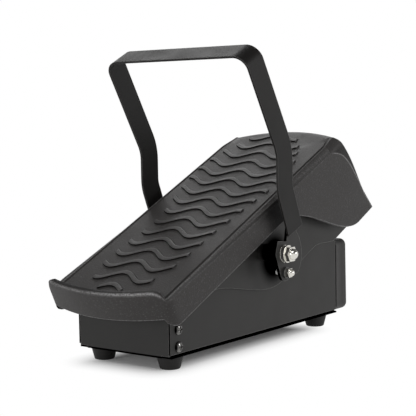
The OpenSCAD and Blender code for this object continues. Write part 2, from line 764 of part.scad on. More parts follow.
// A coil swept along a helix whose ends lie on the seat and under the rocker's foot
module return_spring() color([0.7, 0.7, 0.72]) place() {
    steps = 14;
    sides = 6;
    wire_r = spring_wire / 2;
    mean_r = spring_d / 2 - wire_r;
    low = floor_z + seat_t + wire_r + 0.05;
    rise = spring_top - wire_r - 0.35 - low;
    count = spring_turns * steps;
    ring = function (i) let (t = i / count, a = 360 * i / steps)
        [for (k = [0:sides - 1]) let (q = 360 * k / sides)
            [(mean_r + wire_r * cos(q)) * cos(a), (mean_r + wire_r * cos(q)) * sin(a), rise * t + wire_r * sin(q)]];
    translate([0, spring_y, low]) polyhedron(
        points = [for (i = [0:count]) each ring(i)],
        faces = concat(
            [[for (k = [0:sides - 1]) k]],
            [for (i = [0:count - 1], k = [0:sides - 1]) let (a = i * sides, b = (k + 1) % sides)
                [a + k, a + sides + k, a + sides + b, a + b]],
            [[for (k = [sides - 1:-1:0]) count * sides + k]]));
}

// Pedal frame and rocker

// Lower edge of the frame's side plates: shallow at the heel, deep round the axle, deepest at the toe
function plate_edge(s) = -plate_front - (plate_mid - plate_front) * smooth((s - 28) / 117)
    - (plate_rear - plate_mid) * smooth((s - 208) / 40);

plate_lean = tan(toe_lean);

module pedal_frame() color([0.22, 0.22, 0.22]) place() difference() {
    last = frame_end + (plate_rear - frame_drop) * plate_lean;
    steps = 40;
    on_tread() {
        translate([-frame_x1, frame_start, -frame_drop - sheet_t])
            cube([2 * frame_x1, frame_end - frame_start, sheet_t]);
        both_sides() side_view(frame_x0, frame_x1) polygon(concat(
            [[frame_end, -frame_drop], [frame_start, -frame_drop]],
            [for (i = [0:steps]) let (s = frame_start + (last - frame_start) * i / steps) [s, plate_edge(s)]]));
    }
    both_sides() bar_x(frame_x0 - 1, frame_x1 + 1, axle_y, axle_z, bush_d + 2 * run_fit);
    on_tread() {
        both_sides() for (s = cover_screw_s) translate([cover_screw_x, s, -frame_drop - 3])
            cylinder(d = m4_d + 2 * hole_fit, h = 4);
        both_sides() for (s = rocker_screw_s) translate([rocker_x - 6, s, -frame_drop - 3])
            cylinder(d = m3_d + 2 * hole_fit, h = 4);
        both_sides() bar_x(frame_x0 - 3, frame_x1 + 1, brace_mid, brace_n + 6, m4_d + 2 * hole_fit);
    }
}

// A bent bar between the side plates, which meets the toe stops
module cross_brace() color([0.3, 0.3, 0.3]) place() on_tread() difference() {
    union() {
        translate([-frame_x0, brace_s[0], brace_n - brace_t]) cube([2 * frame_x0, brace_s[1] - brace_s[0], brace_t]);
        both_sides() translate([frame_x0 - brace_t, brace_s[0], brace_n - brace_t])
            cube([brace_t, brace_s[1] - brace_s[0], 13]);
    }
    both_sides() bar_x(frame_x0 - 5, frame_x0 + 1, brace_mid, brace_n + 6, m4_d + 2 * hole_fit);
}

module brace_screws() color([0.6, 0.6, 0.6]) place() on_tread() both_sides()
    translate([frame_x1, brace_mid, brace_n + 6]) rotate([0, 90, 0]) pan_screw(m4_d, m4_head, sheet_t + brace_t + 2);

function rocker_outline() =
    [[tread_y(rocker_s[0], rocker_top), tread_h(rocker_s[0], rocker_top)],
     [axle_y - 22, axle_z + 1], [axle_y - 10, axle_z - 13], [axle_y + 16, axle_z - 17],
     [spring_foot[0], spring_top], [spring_foot[1], spring_top], [spring_foot[1], spring_top + 14],
     [axle_y + 31, axle_z + 21], [tread_y(rocker_s[1], rocker_top), tread_h(rocker_s[1], rocker_top)]];

module rocker_bracket() color([0.5, 0.5, 0.5]) place() difference() {
    union() {
        both_sides() side_view(rocker_x - rocker_t, rocker_x) polygon(rocker_outline());
        translate([-rocker_x, spring_foot[0], spring_top])
            cube([2 * rocker_x, spring_foot[1] - spring_foot[0], rocker_t]);
        on_tread() translate([-rocker_x, rocker_s[0], rocker_top - rocker_t])
            cube([2 * rocker_x, rocker_s[1] - rocker_s[0], rocker_t]);
    }
    bar_x(-rocker_x - 1, rocker_x + 1, axle_y, axle_z, axle_hole);
    for (dy = [-1, 1]) bar_x(rocker_x - 4, rocker_x + 1, axle_y + dy * sector_screw_dy, axle_z + sector_screw_dz, m3_d + 2 * hole_fit);
    bar_x(-rocker_x - 1, -rocker_x + 4, striker_y, striker_z, striker_d + 2 * hole_fit);
    on_tread() both_sides() for (s = rocker_screw_s) translate([rocker_x - 6, s, rocker_top - 4])
        cylinder(d = m3_d + 2 * hole_fit, h = 6);
}

module rocker_screws() color([0.7, 0.7, 0.7]) place() on_tread() both_sides() for (s = rocker_screw_s)
    translate([rocker_x - 6, s, -frame_drop]) pan_screw(m3_d, m3_head, sheet_t + rocker_t + 3);

// Cover

lip_inner_r = 2;
lip_centre = lip_r - lip_reach;
toe_centre = toe_reach - toe_r;
toe_s = toe_reach + skirt_rear * plate_lean;

// Cross-section of the cover, with its shoulders, grown inwards by inset
function cover_section(inset) =
    let (hw = cover_w / 2 - inset, top = -inset, shoulder = cover_w / 2 - tread_w / 2 - groove_w)
    let (right = arc([hw - shoulder, top - shoulder_drop], 1, 0, 90, 8))
    let (curve = [for (p = right) [hw - shoulder + (p[0] - hw + shoulder) * shoulder,
        top - shoulder_drop + (p[1] - top + shoulder_drop) * shoulder_drop]])
    concat([[hw, -2 * skirt_rear]], curve, [for (i = [len(curve) - 1:-1:0]) [-curve[i][0], curve[i][1]]],
        [[-hw, -2 * skirt_rear]]);

// Profile of the toe, turned about an axis square to the tread
function toe_profile(inset) =
    let (r = max(toe_round - inset, 1), edge = toe_r + inset * tan(toe_lean) - inset / cos(toe_lean))
    let (back = r * tan(45 - toe_lean / 2), deep = 2 * skirt_rear)
    concat([[0, -deep], [toe_r + deep * tan(toe_lean) - inset / cos(toe_lean), -deep]],
        arc([edge - back, -inset - r], r, toe_lean, 90, 8), [[0, -inset]]);

// What is cut off the heel's corners, seen square to the tread: an arc between two straight runs
module heel_corners() {
    q = heel_corner_r;
    mid = [cover_w / 2 - q, lip_centre - sqrt(pow(lip_r - q, 2) - pow(cover_w / 2 - q, 2))];
    start = atan2(mid[1] - lip_centre, mid[0]) + 10;
    end = -10;
    run = 2 * q;
    first = mid + q * [cos(start), sin(start)] + run * [sin(start), -cos(start)];
    last = mid + q * [cos(end), sin(end)] + run * [-sin(end), cos(end)];
    both_sides() translate([0, 0, -2 * skirt_rear]) linear_extrude(3 * skirt_rear) polygon(concat(
        [first], arc(mid, q, start, end, 6), [last, [cover_w, last[1]], [cover_w, -3 * lip_reach],
        [first[0], -3 * lip_reach]]));
}

module cover_form(inset) {
    intersection() {
        translate([0, 2 * toe_reach, 0]) rotate([90, 0, 0]) linear_extrude(3 * toe_reach)
            polygon(cover_section(inset));
        translate([0, lip_centre, -2 * skirt_rear]) cylinder(r = lip_r - inset, h = 3 * skirt_rear, $fn = 180);
        union() {
            translate([0, toe_centre, 0]) rotate_extrude($fn = 180) polygon(toe_profile(inset));
            translate([-cover_w, -far, -2 * skirt_rear]) cube([2 * cover_w, far + toe_reach * 0.7, 2 * skirt_rear]);
        }
    }
}

// Lower edge of the skirt: level with the tread beside the foot, then a wave down to the toe
function skirt_edge(s) = -skirt_front
    - (skirt_rear - skirt_front) * smooth(s < 148 ? 0 : pow((s - 148) / 130, 1.1));

module skirt_view() {
    steps = 36;
    last = toe_s + 10;
    polygon(concat([[last, 5], [-lip_reach - 5, 5], [-lip_reach - 5, -lip_drop], [-31, -lip_drop]],
        [[-27, -20.5], [-22, -24], [-15, -skirt_front], [140, -skirt_front]],
        [for (i = [0:steps]) let (s = 148 + (last - 148) * i / steps) [s, skirt_edge(s)]]));
}

// The raised lip: a ring with rounded edges, cut to the front view with rounded ends
module heel_lip() {
    hw = cover_w / 2;
    intersection() {
        translate([0, lip_centre, 0]) rotate_extrude($fn = 180) translate([lip_r - lip_t, -lip_h])
            polygon(concat([[0, 0], [lip_t, 0]],
                arc([lip_t - lip_round, 2 * lip_h - lip_round], lip_round, 0, 90, 5),
                arc([lip_inner_r, 2 * lip_h - lip_inner_r], lip_inner_r, 90, 180, 5)));
        rotate([90, 0, 0]) linear_extrude(2 * lip_reach) polygon(concat([[hw, -lip_h]],
            arc([hw - lip_end_r, lip_h - lip_end_r], lip_end_r, 0, 90, 8),
            arc([lip_end_r - hw, lip_h - lip_end_r], lip_end_r, 90, 180, 8), [[-hw, -lip_h]]));
    }
}

// Half-widths of the rib field: a shoe sole with heel, waist and ball
sole_left = [[-15, 30], [25, 41], [90, 36], [146, 48], [190, 58], [226, 56], [260, 46], [276, 38]];
sole_right = [[-15, 28], [25, 39], [90, 42.5], [146, 50], [190, 53], [226, 46], [260, 34], [276, 24]];
function wave(x) = wave_h * cos(360 * (x + 7.5) / wave_l);

module tread_ribs() {
    steps = 18;
    room = toe_reach - toe_round - rib_w - rib_first;
    for (row = [0:min(rib_count - 1, floor(room / rib_pitch))]) {
        s = rib_first + row * rib_pitch;
        x0 = -lookup(s, sole_left);
        x1 = lookup(s, sole_right);
        xs = [for (i = [0:steps]) x0 + (x1 - x0) * i / steps];
        translate([0, s, -1]) linear_extrude(1 + rib_h) polygon(concat(
            [for (x = xs) [x, wave(x)]],
            [for (i = [steps:-1:0]) [xs[i], wave(xs[i]) + rib_w]]));
    }
}

module pedal_cover() color([0.27, 0.27, 0.27]) place() on_tread() {
    difference() {
        union() {
            difference() {
                intersection() {
                    cover_form(0);
                    side_view(-cover_w, cover_w) skirt_view();
                }
                cover_form(cover_wall);
            }
            heel_lip();
            both_sides() for (s = cover_screw_s) translate([cover_screw_x, s, -frame_drop])
                cylinder(d = boss_d, h = frame_drop - cover_wall + eps);
        }
        both_sides() {
            for (s = cover_screw_s) translate([cover_screw_x, s, -frame_drop - 1]) cylinder(d = m4_d, h = frame_drop - 1);
            translate([tread_w / 2 + groove_w / 2, -lip_reach + 2 * lip_t, 0]) rotate([0, 45, 0])
                translate([-0.35 * groove_w, 0, -0.35 * groove_w])
                    cube([0.7 * groove_w, toe_reach - toe_round, 0.7 * groove_w]);
        }
        translate([-cover_w / 2 + cover_wall, -2 * lip_reach, -2 * skirt_rear])
            cube([cover_w - 2 * cover_wall, 2 * lip_reach - 15, 2 * skirt_rear - lip_drop]);
        heel_corners();
    }
    tread_ribs();
}

module cover_screws() color([0.6, 0.6, 0.6]) place() on_tread() both_sides() for (s = cover_screw_s)
    translate([cover_screw_x, s, -frame_drop - sheet_t]) rotate([180, 0, 0])
        pan_screw(m4_d - 2 * hole_fit, m4_head, sheet_t + 7);

// Handle

bail_upper = [axle_y + 1.7, axle_z + bail_upper_z];
bail_lower = [axle_y + 1.7, axle_z + bail_lower_z];
bail_foot = [axle_y + 17.8, axle_z + 19.6];
bail_rise = bail_leg * cos(bail_lean - bar_tilt) + strap_t / 2;
bail_end = bail_upper + (bail_leg + strap_w / 2) * [-sin(bail_lean), cos(bail_lean)];
upper_round = 40;
lower_round = 30;

// Side view of the whole strap, run past its top
module bail_side() {
    polygon(strip(concat([bail_foot], corner(bail_foot, bail_lower, bail_upper, lower_round, 8),
        corner(bail_lower, bail_upper, bail_end, upper_round, 8), [bail_end]), strap_w));
}

// View of the bent strap along its leaning legs: two legs, two corners and the crossbar
module bail_front() {
    hw = bail_w / 2;
    low = -2 * bail_lower_z;
    mid = [hw - bail_bend_r, bail_rise - bail_bend_r];
    far_mid = [-mid[0], mid[1]];
    inner_r = bail_bend_r - strap_t;
    polygon(concat([[hw, low]], arc(mid, bail_bend_r, 0, 90, 20), arc(far_mid, bail_bend_r, 90, 180, 20), [[-hw, low]],
        [[strap_t - hw, low]], arc(far_mid, inner_r, 180, 90, 20), arc(mid, inner_r, 90, 0, 20), [[hw - strap_t, low]]));
}

module handle_bail() color([0.24, 0.24, 0.23]) place() intersection() {
    side_view(-bail_w, bail_w) bail_side();
    translate([0, bail_upper[0], bail_upper[1]]) rotate([bar_tilt, 0, 0]) rotate([90, 0, 0])
        linear_extrude(3 * bail_lower_z, center = true) bail_front();
}

stud_y = axle_y + stud_back;
stud_z = axle_z - stud_drop;

module handle_ear() {
    ear_c = [axle_y + 2, axle_z - 2.2];
    difference() {
        side_view(ear_x0, ear_x1) polygon(concat(
            [[axle_y + 5, axle_z + 10.5], [axle_y - 9.4, axle_z + 12], [axle_y - 13.2, axle_z + 0.6]],
            arc([stud_y, stud_z], 8, 205, 300, 6), arc(ear_c, ear_r, -38, 45, 10),
            [bail_foot + [1, 14], bail_foot + [-8, 14]]));
        bar_x(ear_x0 - 1, ear_x1 + 1, axle_y, axle_z, axle_hole);
        bar_x(ear_x0 - 1, ear_x1 + 1, stud_y, stud_z, stud_d + 2 * hole_fit);
    }
}

module handle_ear_right() color([0.14, 0.14, 0.14]) place() handle_ear();

module handle_ear_left() color([0.14, 0.14, 0.14]) place() mirror([1, 0, 0]) handle_ear();

stud_nut_af = 8;
stud_nut_h = 3.2;
stud_hex_h = 4;
stud_washer_t = 1.8;
stud_cap_x = ear_x1 + stud_washer_t;

module lock_studs() color([0.7, 0.7, 0.7]) place() both_sides()
    bar_x(ear_x0 - 2 * stud_nut_h, stud_cap_x + stud_hex_h - 0.5, stud_y, stud_z, stud_d);

module lock_nuts() color([0.7, 0.7, 0.7]) place() both_sides()
    hex_nut_x(ear_x0 - stud_nut_h, ear_x0, stud_y, stud_z, stud_nut_af, stud_d + 2 * hole_fit);

module lock_washers() color([0.1, 0.1, 0.1]) place() both_sides() difference() {
    bar_x(ear_x1, stud_cap_x, stud_y, stud_z, stud_nut_af + 2);
    bar_x(ear_x1 - 1, stud_cap_x + 1, stud_y, stud_z, stud_d + 2 * hole_fit);
}

module lock_cap_nuts() color([0.8, 0.8, 0.76]) place() both_sides()
    cap_nut_x(stud_cap_x, stud_y, stud_z, stud_nut_af, stud_hex_h, 0.45 * stud_nut_af, stud_d + 2 * hole_fit);

base_tray();
side_panel_left();
side_panel_right();
panel_screws();
rear_cap();
cap_screws();
gland_body();
gland_cap();
gland_locknut();
feet();
foot_screws();
axle();
axle_lock_nuts();
pivot_bushes();
handle_spacers();
axle_washers();
axle_spring_washers();
axle_cap_nuts();
heel_stops();
toe_stops();
pot_bracket();
pot_body();
pot_nut();
switch_bracket();
switch_body();
switch_screws();
terminal_strip();
terminal_screws();
spring_seat();
return_spring();
pedal_frame();
pedal_cover();
cover_screws();
cross_brace();
brace_screws();
rocker_bracket();
rocker_screws();
sector_gear();
sector_screws();
striker_pin();
pot_shaft();
pot_pinion();
switch_lever();
switch_plunger();
handle_bail();
handle_ear_left();
handle_ear_right();
lock_studs();
lock_nuts();
lock_washers();
lock_cap_nuts();
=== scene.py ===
"""Looks of a welder's foot pedal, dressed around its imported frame."""

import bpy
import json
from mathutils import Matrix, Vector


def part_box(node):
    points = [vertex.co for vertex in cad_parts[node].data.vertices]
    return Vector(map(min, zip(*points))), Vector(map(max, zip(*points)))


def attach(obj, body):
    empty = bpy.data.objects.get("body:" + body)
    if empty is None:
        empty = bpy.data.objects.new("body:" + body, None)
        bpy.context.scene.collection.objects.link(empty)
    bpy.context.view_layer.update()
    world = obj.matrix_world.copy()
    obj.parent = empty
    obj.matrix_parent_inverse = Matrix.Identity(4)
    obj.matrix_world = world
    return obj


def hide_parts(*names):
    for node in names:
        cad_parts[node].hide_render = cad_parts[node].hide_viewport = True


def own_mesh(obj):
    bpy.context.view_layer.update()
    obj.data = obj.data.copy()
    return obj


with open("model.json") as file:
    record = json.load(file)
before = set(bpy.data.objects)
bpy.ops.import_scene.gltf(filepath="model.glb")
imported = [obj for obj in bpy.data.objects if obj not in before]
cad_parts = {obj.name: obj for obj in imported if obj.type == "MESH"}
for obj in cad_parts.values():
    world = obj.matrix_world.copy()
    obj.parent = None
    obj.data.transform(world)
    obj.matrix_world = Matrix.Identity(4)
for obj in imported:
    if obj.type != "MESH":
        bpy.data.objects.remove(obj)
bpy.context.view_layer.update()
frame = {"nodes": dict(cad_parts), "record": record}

import json
import logging
import math
from dataclasses import dataclass, field, replace
from enum import Enum, IntEnum
from functools import partial, reduce

import bpy
import numpy as np
from mathutils import Matrix, Vector

log = logging.getLogger("foot_pedal")

MM = 0.001
FULL_PAINTED_LIGHT = 2.0
Colour = tuple[float, float, float]
Point = tuple[float, float, float]
Span = tuple[float, float]
Profile = tuple[Span, ...] | np.ndarray
Socket = bpy.types.NodeSocket
BLACK: Colour = (0.0, 0.0, 0.0)


@dataclass
class Graph:
    """A node tree with short ways to add and link nodes."""

    tree: bpy.types.NodeTree

    def add(self, kind: str) -> bpy.types.Node:
        """Adds a node of that kind."""
        return self.tree.nodes.new(kind)

    def find(self, kind: str) -> bpy.types.Node:
        """Returns the tree's first node of that type."""
        return next(node for node in self.tree.nodes if node.type == kind)

    def link(self, source: Socket, target: Socket) -> None:
        """Links two sockets."""
        self.tree.links.new(source, target)

    def attribute(self, name: str) -> Socket:
        """Reads a number of the piece's own attribute.

        Args:
            name: The attribute's name.

        Returns:
            The socket with its value.
        """
        node = self.add("ShaderNodeAttribute")
        node.attribute_name = name
        return node.outputs["Fac"]

    def split(self, vector: Socket, part: str) -> Socket:
        """Takes one part of a vector.

        Args:
            vector: The socket with the vector.
            part: X, Y or Z.

        Returns:
            The socket with that part.
        """
        node = self.add("ShaderNodeSeparateXYZ")
        self.link(vector, node.inputs[0])
        return node.outputs[part]

    def math(self, operation: str, *values: Socket) -> Socket:
        """Works out one or two numbers.

        Args:
            operation: What is done with them.
            values: The sockets with the numbers.

        Returns:
            The socket with the result.
        """
        node = self.add("ShaderNodeMath")
        node.operation = operation
        for value, entry in zip(values, node.inputs):
            self.link(value, entry)
        return node.outputs[0]

    def vector(self, operation: str, first: Socket, second: Socket | Point | None = None) -> bpy.types.Node:
        """Works out one or two vectors.

        Args:
            operation: What is done with them.
            first: The socket with the first vector.
            second: The second vector or the socket with it, if there is one.

        Returns:
            The node, with its result at Vector or Value.
        """
        node = self.add("ShaderNodeVectorMath")
        node.operation = operation
        self.link(first, node.inputs[0])
        if isinstance(second, tuple):
            node.inputs[1].default_value = second
        elif second is not None:
            self.link(second, node.inputs[1])
        return node

    def noise(self, place: Socket, scale: float, detail: float) -> Socket:
        """Adds a noise.

        Args:
            place: The coordinates.
            scale: How many waves there are per metre.
            detail: How many finer layers it has.

        Returns:
            The socket with its value.
        """
        node = self.add("ShaderNodeTexNoise")
        node.inputs["Scale"].default_value = scale
        node.inputs["Detail"].default_value = detail
        self.link(place, node.inputs["Vector"])
        return node.outputs["Fac"]

    def ramp(self, value: Socket, low: float, high: float, start: float = 0.0, end: float = 1.0,
             smooth: bool = False) -> Socket:
        """Adds a clamped ramp.

        Args:
            value: The number that goes in.
            low: Where the ramp starts.
            high: Where it ends.
            start: The result at low.
            end: The result at high.
            smooth: Whether it is eased at both ends.

        Returns:
            The socket with the result.
        """
        node = self.add("ShaderNodeMapRange")
        node.interpolation_type = "SMOOTHSTEP" if smooth else "LINEAR"
        for name, limit in (("From Min", low), ("From Max", high), ("To Min", start), ("To Max", end)):
            node.inputs[name].default_value = limit
        self.link(value, node.inputs["Value"])
        return node.outputs["Result"]

    def seen_directly(self) -> Socket:
        """Tells what is looked at from what only sends light.

        Returns:
            The socket with 1 for what the camera, a reflection or a transmission sees, and 0 for light.
        """
        path = self.add("ShaderNodeLightPath").outputs
        rays = [path[f"Is {kind} Ray"] for kind in ("Camera", "Glossy", "Transmission")]
        return reduce(partial(self.math, "MAXIMUM"), rays)

    def mix(self, share: Socket, first: Colour | Socket, second: Colour | Socket) -> Socket:
        """Mixes two colours.

        Args:
            share: The second colour's share.
            first: A colour or a socket with one.
            second: A colour or a socket with one.

        Returns:
            The socket with the mixed colour.
        """
        node = self.add("ShaderNodeMix")
        node.data_type = "RGBA"
        self.link(share, node.inputs[0])
        for side, entry in ((first, node.inputs[6]), (second, node.inputs[7])):
            if isinstance(side, tuple):
                entry.default_value = (*side, 1.0)
            else:
                self.link(side, entry)
        return node.outputs[2]

    def choose(self, share: Socket, first: bpy.types.Node, second: bpy.types.Node, output: bpy.types.Node) -> None:
        """Mixes two shaders into the tree's output.

        Args:
            share: The second shader's share.
            first: A shader's node.
            second: A shader's node.
            output: The output's node.
        """
        node = self.add("ShaderNodeMixShader")
        for source, target in zip((share, first.outputs[0], second.outputs[0]), node.inputs):
            self.link(source, target)
        self.link(node.outputs[0], output.inputs["Surface"])


class Grain(Enum):
    """Kinds of fine surface structure."""

    SPARK = "spark-eroded mould texture"
    POWDER = "powder coat with a fine orange peel"
    DRAWN = "drawn or turned bright metal"
    PLATED = "smooth plating"
    RUBBER = "moulded rubber with bloom"
    SMOOTH = "plain moulded plastic"


@dataclass(frozen=True)
class Finish:
    """One surface finish, as a node material on Object coordinates.

    A fine noise gives the grain's bump, a coarse one shifts colour and gloss, and a rounded-edge normal rounds
    the shading of sharp edges, where a painted highlight also lightens the colour. A piece's attribute of painted
    light paints highlights, pale in broken lines, on edges, creases and ridges, and paints shade into grooves and
    shaded faces. A painted shade blackens what lies low under the base, what faces the heel, what is far out along
    the axle, or what is near a point (y, z) beside it, where shade_round ends with the dark and the clear radius.
    """

    name: str
    colour: Colour
    roughness: float
    grain: Grain = Grain.SMOOTH
    metallic: float = 0.0
    grain_size: float = 0.8 * MM
    grain_depth: float = 0.25
    mottle: float = 0.12
    fleck: float = 0.0
    edge_radius: float = 0.35 * MM
    edge_light: float = 0.5
    specular: float = 0.5
    painted_highlight: float = 0.0
    # Painted shade: below a height, on faces turned to the heel, beyond a distance out along the axle, and round a
    # point beside the axle.
    shade_below: float = 0.0
    shade_heelward: bool = False
    shade_out: Span | None = None
    shade_round: tuple[float, float, float, float] | None = None

    DRAWN_STRETCH = (0.08, 1.0, 1.0)
    GRAIN_DETAIL = 3.0
    GRAIN_HEIGHT = 0.3 * MM
    MOTTLE_SIZE = 26 * MM
    MOTTLE_DETAIL = 2.0
    FLECK_NOISE = (0.58, 0.7)
    EDGE_SAMPLES = 6
    EDGE_TURN = (0.98, 0.87)
    EDGE_GAIN = 0.02
    HIGHLIGHT_NOISE = (0.3, 0.6)
    PAINTED_SHADE_COLOUR = 0.15
    PAINTED_SHADE_GLOSS = 0.1
    GLOSS_NOISE = (0.6, 1.4)
    GLOSS_SPREAD = 0.07
    MIN_ROUGHNESS = 0.04
    SHADE_EDGE = 0.1 * MM
    HEELWARD = (-0.4, -0.6)

    def material(self) -> bpy.types.Material:
        """Makes the material, or returns the one made before.

        Returns:
            The node material of this finish.
        """
        title = f"finish_{self.name}"
        known = bpy.data.materials.get(title)
        if known:
            return known
        made = bpy.data.materials.new(title)
        made.use_nodes = True
        graph = Graph(made.node_tree)
        shader = graph.find("BSDF_PRINCIPLED")
        gloss = shader.inputs["Specular IOR Level"]
        gloss.default_value = self.specular
        shader.inputs["Metallic"].default_value = self.metallic
        place = graph.add("ShaderNodeTexCoord").outputs["Object"]
        fine = graph.noise(self._stretch(graph, place), 1 / self.grain_size, self.GRAIN_DETAIL)
        coarse = graph.noise(place, 1 / self.MOTTLE_SIZE, self.MOTTLE_DETAIL)
        rounded = graph.add("ShaderNodeBevel")
        rounded.samples = self.EDGE_SAMPLES
        rounded.inputs["Radius"].default_value = self.edge_radius
        colour = self._colour(graph, fine, coarse, rounded.outputs["Normal"])
        # Painted highlights and painted shade from the piece's attribute; the painted shade also dulls the gloss.
        if self.painted_highlight > 0:
            painted_light = graph.attribute("painted_light")
            colour = self._paint_light(graph, colour, fine, painted_light)
            graph.link(graph.ramp(painted_light, 0.0, -1.0, self.specular, self.PAINTED_SHADE_GLOSS * self.specular), gloss)
        # Painted shade blackens the colour and takes away the gloss.
        shade = self._shade(graph, place)
        if shade is not None:
            colour = graph.mix(shade, colour, BLACK)
            graph.link(graph.ramp(shade, 0.0, 1.0, self.specular, 0.0), gloss)
        graph.link(colour, shader.inputs["Base Color"])
        graph.link(self._roughness(graph, fine, coarse), shader.inputs["Roughness"])
        bump = graph.add("ShaderNodeBump")
        bump.inputs["Strength"].default_value = self.grain_depth
        bump.inputs["Distance"].default_value = self.GRAIN_HEIGHT
        graph.link(fine, bump.inputs["Height"])
        graph.link(rounded.outputs["Normal"], bump.inputs["Normal"])
        graph.link(bump.outputs["Normal"], shader.inputs["Normal"])
        return made

    def _stretch(self, graph: Graph, place: Socket) -> Socket:
        """Draws the grain out along X on drawn metal, and leaves it even elsewhere.

        Args:
            graph: The material's nodes.
            place: The Object coordinates.

        Returns:
            The socket with the grain's coordinates.
        """
        if self.grain is not Grain.DRAWN:
            return place
        mapping = graph.add("ShaderNodeMapping")
        mapping.inputs["Scale"].default_value = self.DRAWN_STRETCH
        graph.link(place, mapping.inputs["Vector"])
        return mapping.outputs["Vector"]

    def _colour(self, graph: Graph, fine: Socket, coarse: Socket, rounded: Socket) -> Socket:
        """Mixes the base colour with mottling, bright flecks and painted highlights on edges.

        An edge is where the rounded normal turns away from the face's own.

        Args:
            graph: The material's nodes.
            fine: The grain's noise.
            coarse: The mottling's noise.
            rounded: The rounded-edge normal.

        Returns:
            The socket with the colour.
        """
        dark = tuple(c * (1 - self.mottle) for c in self.colour)
        pale = tuple(min(1.0, c * (1 + self.mottle)) for c in self.colour)
        colour = graph.mix(coarse, dark, pale)
        if self.fleck > 0:
            bright = tuple(min(1.0, c + self.fleck) for c in self.colour)
            colour = graph.mix(graph.ramp(fine, *self.FLECK_NOISE), colour, bright)
        # Painted highlight: the colour is lightened where the rounded normal turns away from the face's own.
        if self.edge_light > 0:
            flat = graph.add("ShaderNodeNewGeometry").outputs["Normal"]
            facing = graph.vector("DOT_PRODUCT", rounded, flat).outputs["Value"]
            gain = self.EDGE_GAIN * self.edge_light
            light = tuple(min(1.0, c * (1 + self.edge_light) + gain) for c in self.colour)
            colour = graph.mix(graph.ramp(facing, *self.EDGE_TURN), colour, light)
        return colour

    def _paint_light(self, graph: Graph, colour: Socket, fine: Socket, painted_light: Socket) -> Socket:
        """Paints highlights, pale in broken lines, and paints shade into grooves and shaded faces.

        Args:
            graph: The material's nodes.
            colour: The colour so far.
            fine: The grain's noise.
            painted_light: The piece's attribute of painted light, above 0 for painted highlights and below 0 for
                painted shade.

        Returns:
            The socket with the colour with its painted light.
        """
        broken = graph.math("MULTIPLY", graph.ramp(painted_light, 0.0, FULL_PAINTED_LIGHT), graph.ramp(fine, *self.HIGHLIGHT_NOISE))
        pale = tuple(min(1.0, c + FULL_PAINTED_LIGHT * self.painted_highlight) for c in self.colour)
        groove = tuple(c * self.PAINTED_SHADE_COLOUR for c in self.colour)
        return graph.mix(graph.ramp(painted_light, 0.0, -1.0), graph.mix(broken, colour, pale), groove)

    def _shade(self, graph: Graph, place: Socket) -> Socket | None:
        """Finds where shade is painted, as the largest of the painted shades that the finish has.

        Args:
            graph: The material's nodes.
            place: The Object coordinates.

        Returns:
            The socket with 1 in the dark and 0 elsewhere, or None for a finish without shade.
        """
        shades = []
        if self.shade_below > 0:
            height = graph.split(place, "Z")
            shades.append(graph.ramp(height, self.shade_below, self.shade_below - self.SHADE_EDGE))
        if self.shade_heelward:
            facing = graph.split(graph.add("ShaderNodeTexCoord").outputs["Normal"], "Y")
            shades.append(graph.ramp(facing, *self.HEELWARD))
        if self.shade_out:
            shades.append(graph.ramp(graph.math("ABSOLUTE", graph.split(place, "X")), *self.shade_out))
        if self.shade_round:
            y, z, dark, clear = self.shade_round
            beside = graph.vector("MULTIPLY", place, (0.0, 1.0, 1.0)).outputs["Vector"]
            away = graph.vector("DISTANCE", beside, (0.0, y, z)).outputs["Value"]
            shades.append(graph.ramp(away, clear, dark, smooth=True))
        return reduce(partial(graph.math, "MAXIMUM"), shades) if shades else None

    def _roughness(self, graph: Graph, fine: Socket, coarse: Socket) -> Socket:
        """Varies the roughness a little with the sum of both noises.

        Args:
            graph: The material's nodes.
            fine: The grain's noise.
            coarse: The mottling's noise.

        Returns:
            The socket with the roughness.
        """
        low = max(self.MIN_ROUGHNESS, self.roughness - self.GLOSS_SPREAD)
        high = min(1.0, self.roughness + self.GLOSS_SPREAD)
        return graph.ramp(graph.math("ADD", fine, coarse), *self.GLOSS_NOISE, low, high)


COVER = Finish("cover_plastic", (0.0255, 0.0234, 0.0227), 0.52, Grain.SPARK, grain_size=1.2 * MM, grain_depth=0.9,
               fleck=0.04, mottle=0.18, edge_light=0.0, specular=0.25, painted_highlight=0.11)
SHEET = Finish("sheet_powder", (0.0165, 0.0158, 0.0148), 0.5, Grain.POWDER, grain_size=0.7 * MM, grain_depth=0.2,
               fleck=0.006, edge_light=4.5, edge_radius=0.8 * MM, specular=0.28)
# The tray: a darker copy of the sheet paint, set to offset the front lamp, with painted shade below 13.7 mm along the
# floor.
TRAY = replace(SHEET, name="tray_powder", colour=(0.0124, 0.0118, 0.011), shade_below=13.7 * MM)
# Side panels: painted shade below 15.2 mm, in the gap above the tray, and on faces turned to the heel, in the front
# seam.
PANEL = replace(SHEET, name="panel_powder", shade_below=15.2 * MM, shade_heelward=True)
STRAP = Finish("strap_powder", (0.008, 0.0073, 0.0068), 0.46, Grain.POWDER, grain_size=0.7 * MM, grain_depth=0.15,
               fleck=0.004, edge_light=2.5, edge_radius=1.0 * MM, specular=0.16)
CAP = Finish("cap_plastic", (0.0175, 0.0161, 0.0152), 0.5, Grain.SPARK, grain_depth=0.4, fleck=0.015, specular=0.25,
             edge_light=0.0, painted_highlight=0.07)
BLACK_PLASTIC = Finish("black_plastic", (0.005, 0.0048, 0.0046), 0.5, Grain.SMOOTH, grain_depth=0.08, specular=0.15)
# Handle spacers: a lighter copy of the black plastic, with painted shade that blackens them further out along the axle
# towards the ears.
SPACER = replace(BLACK_PLASTIC, name="spacer_plastic", colour=(0.036, 0.0345, 0.033), edge_light=0.0,
                 shade_out=(54 * MM, 61 * MM))
# Pedal frame: painted shadow of the handle's ear, round a point beside the axle.
PLATE = replace(SHEET, name="plate_powder", shade_round=(5 * MM, 82 * MM, 16 * MM, 31 * MM))
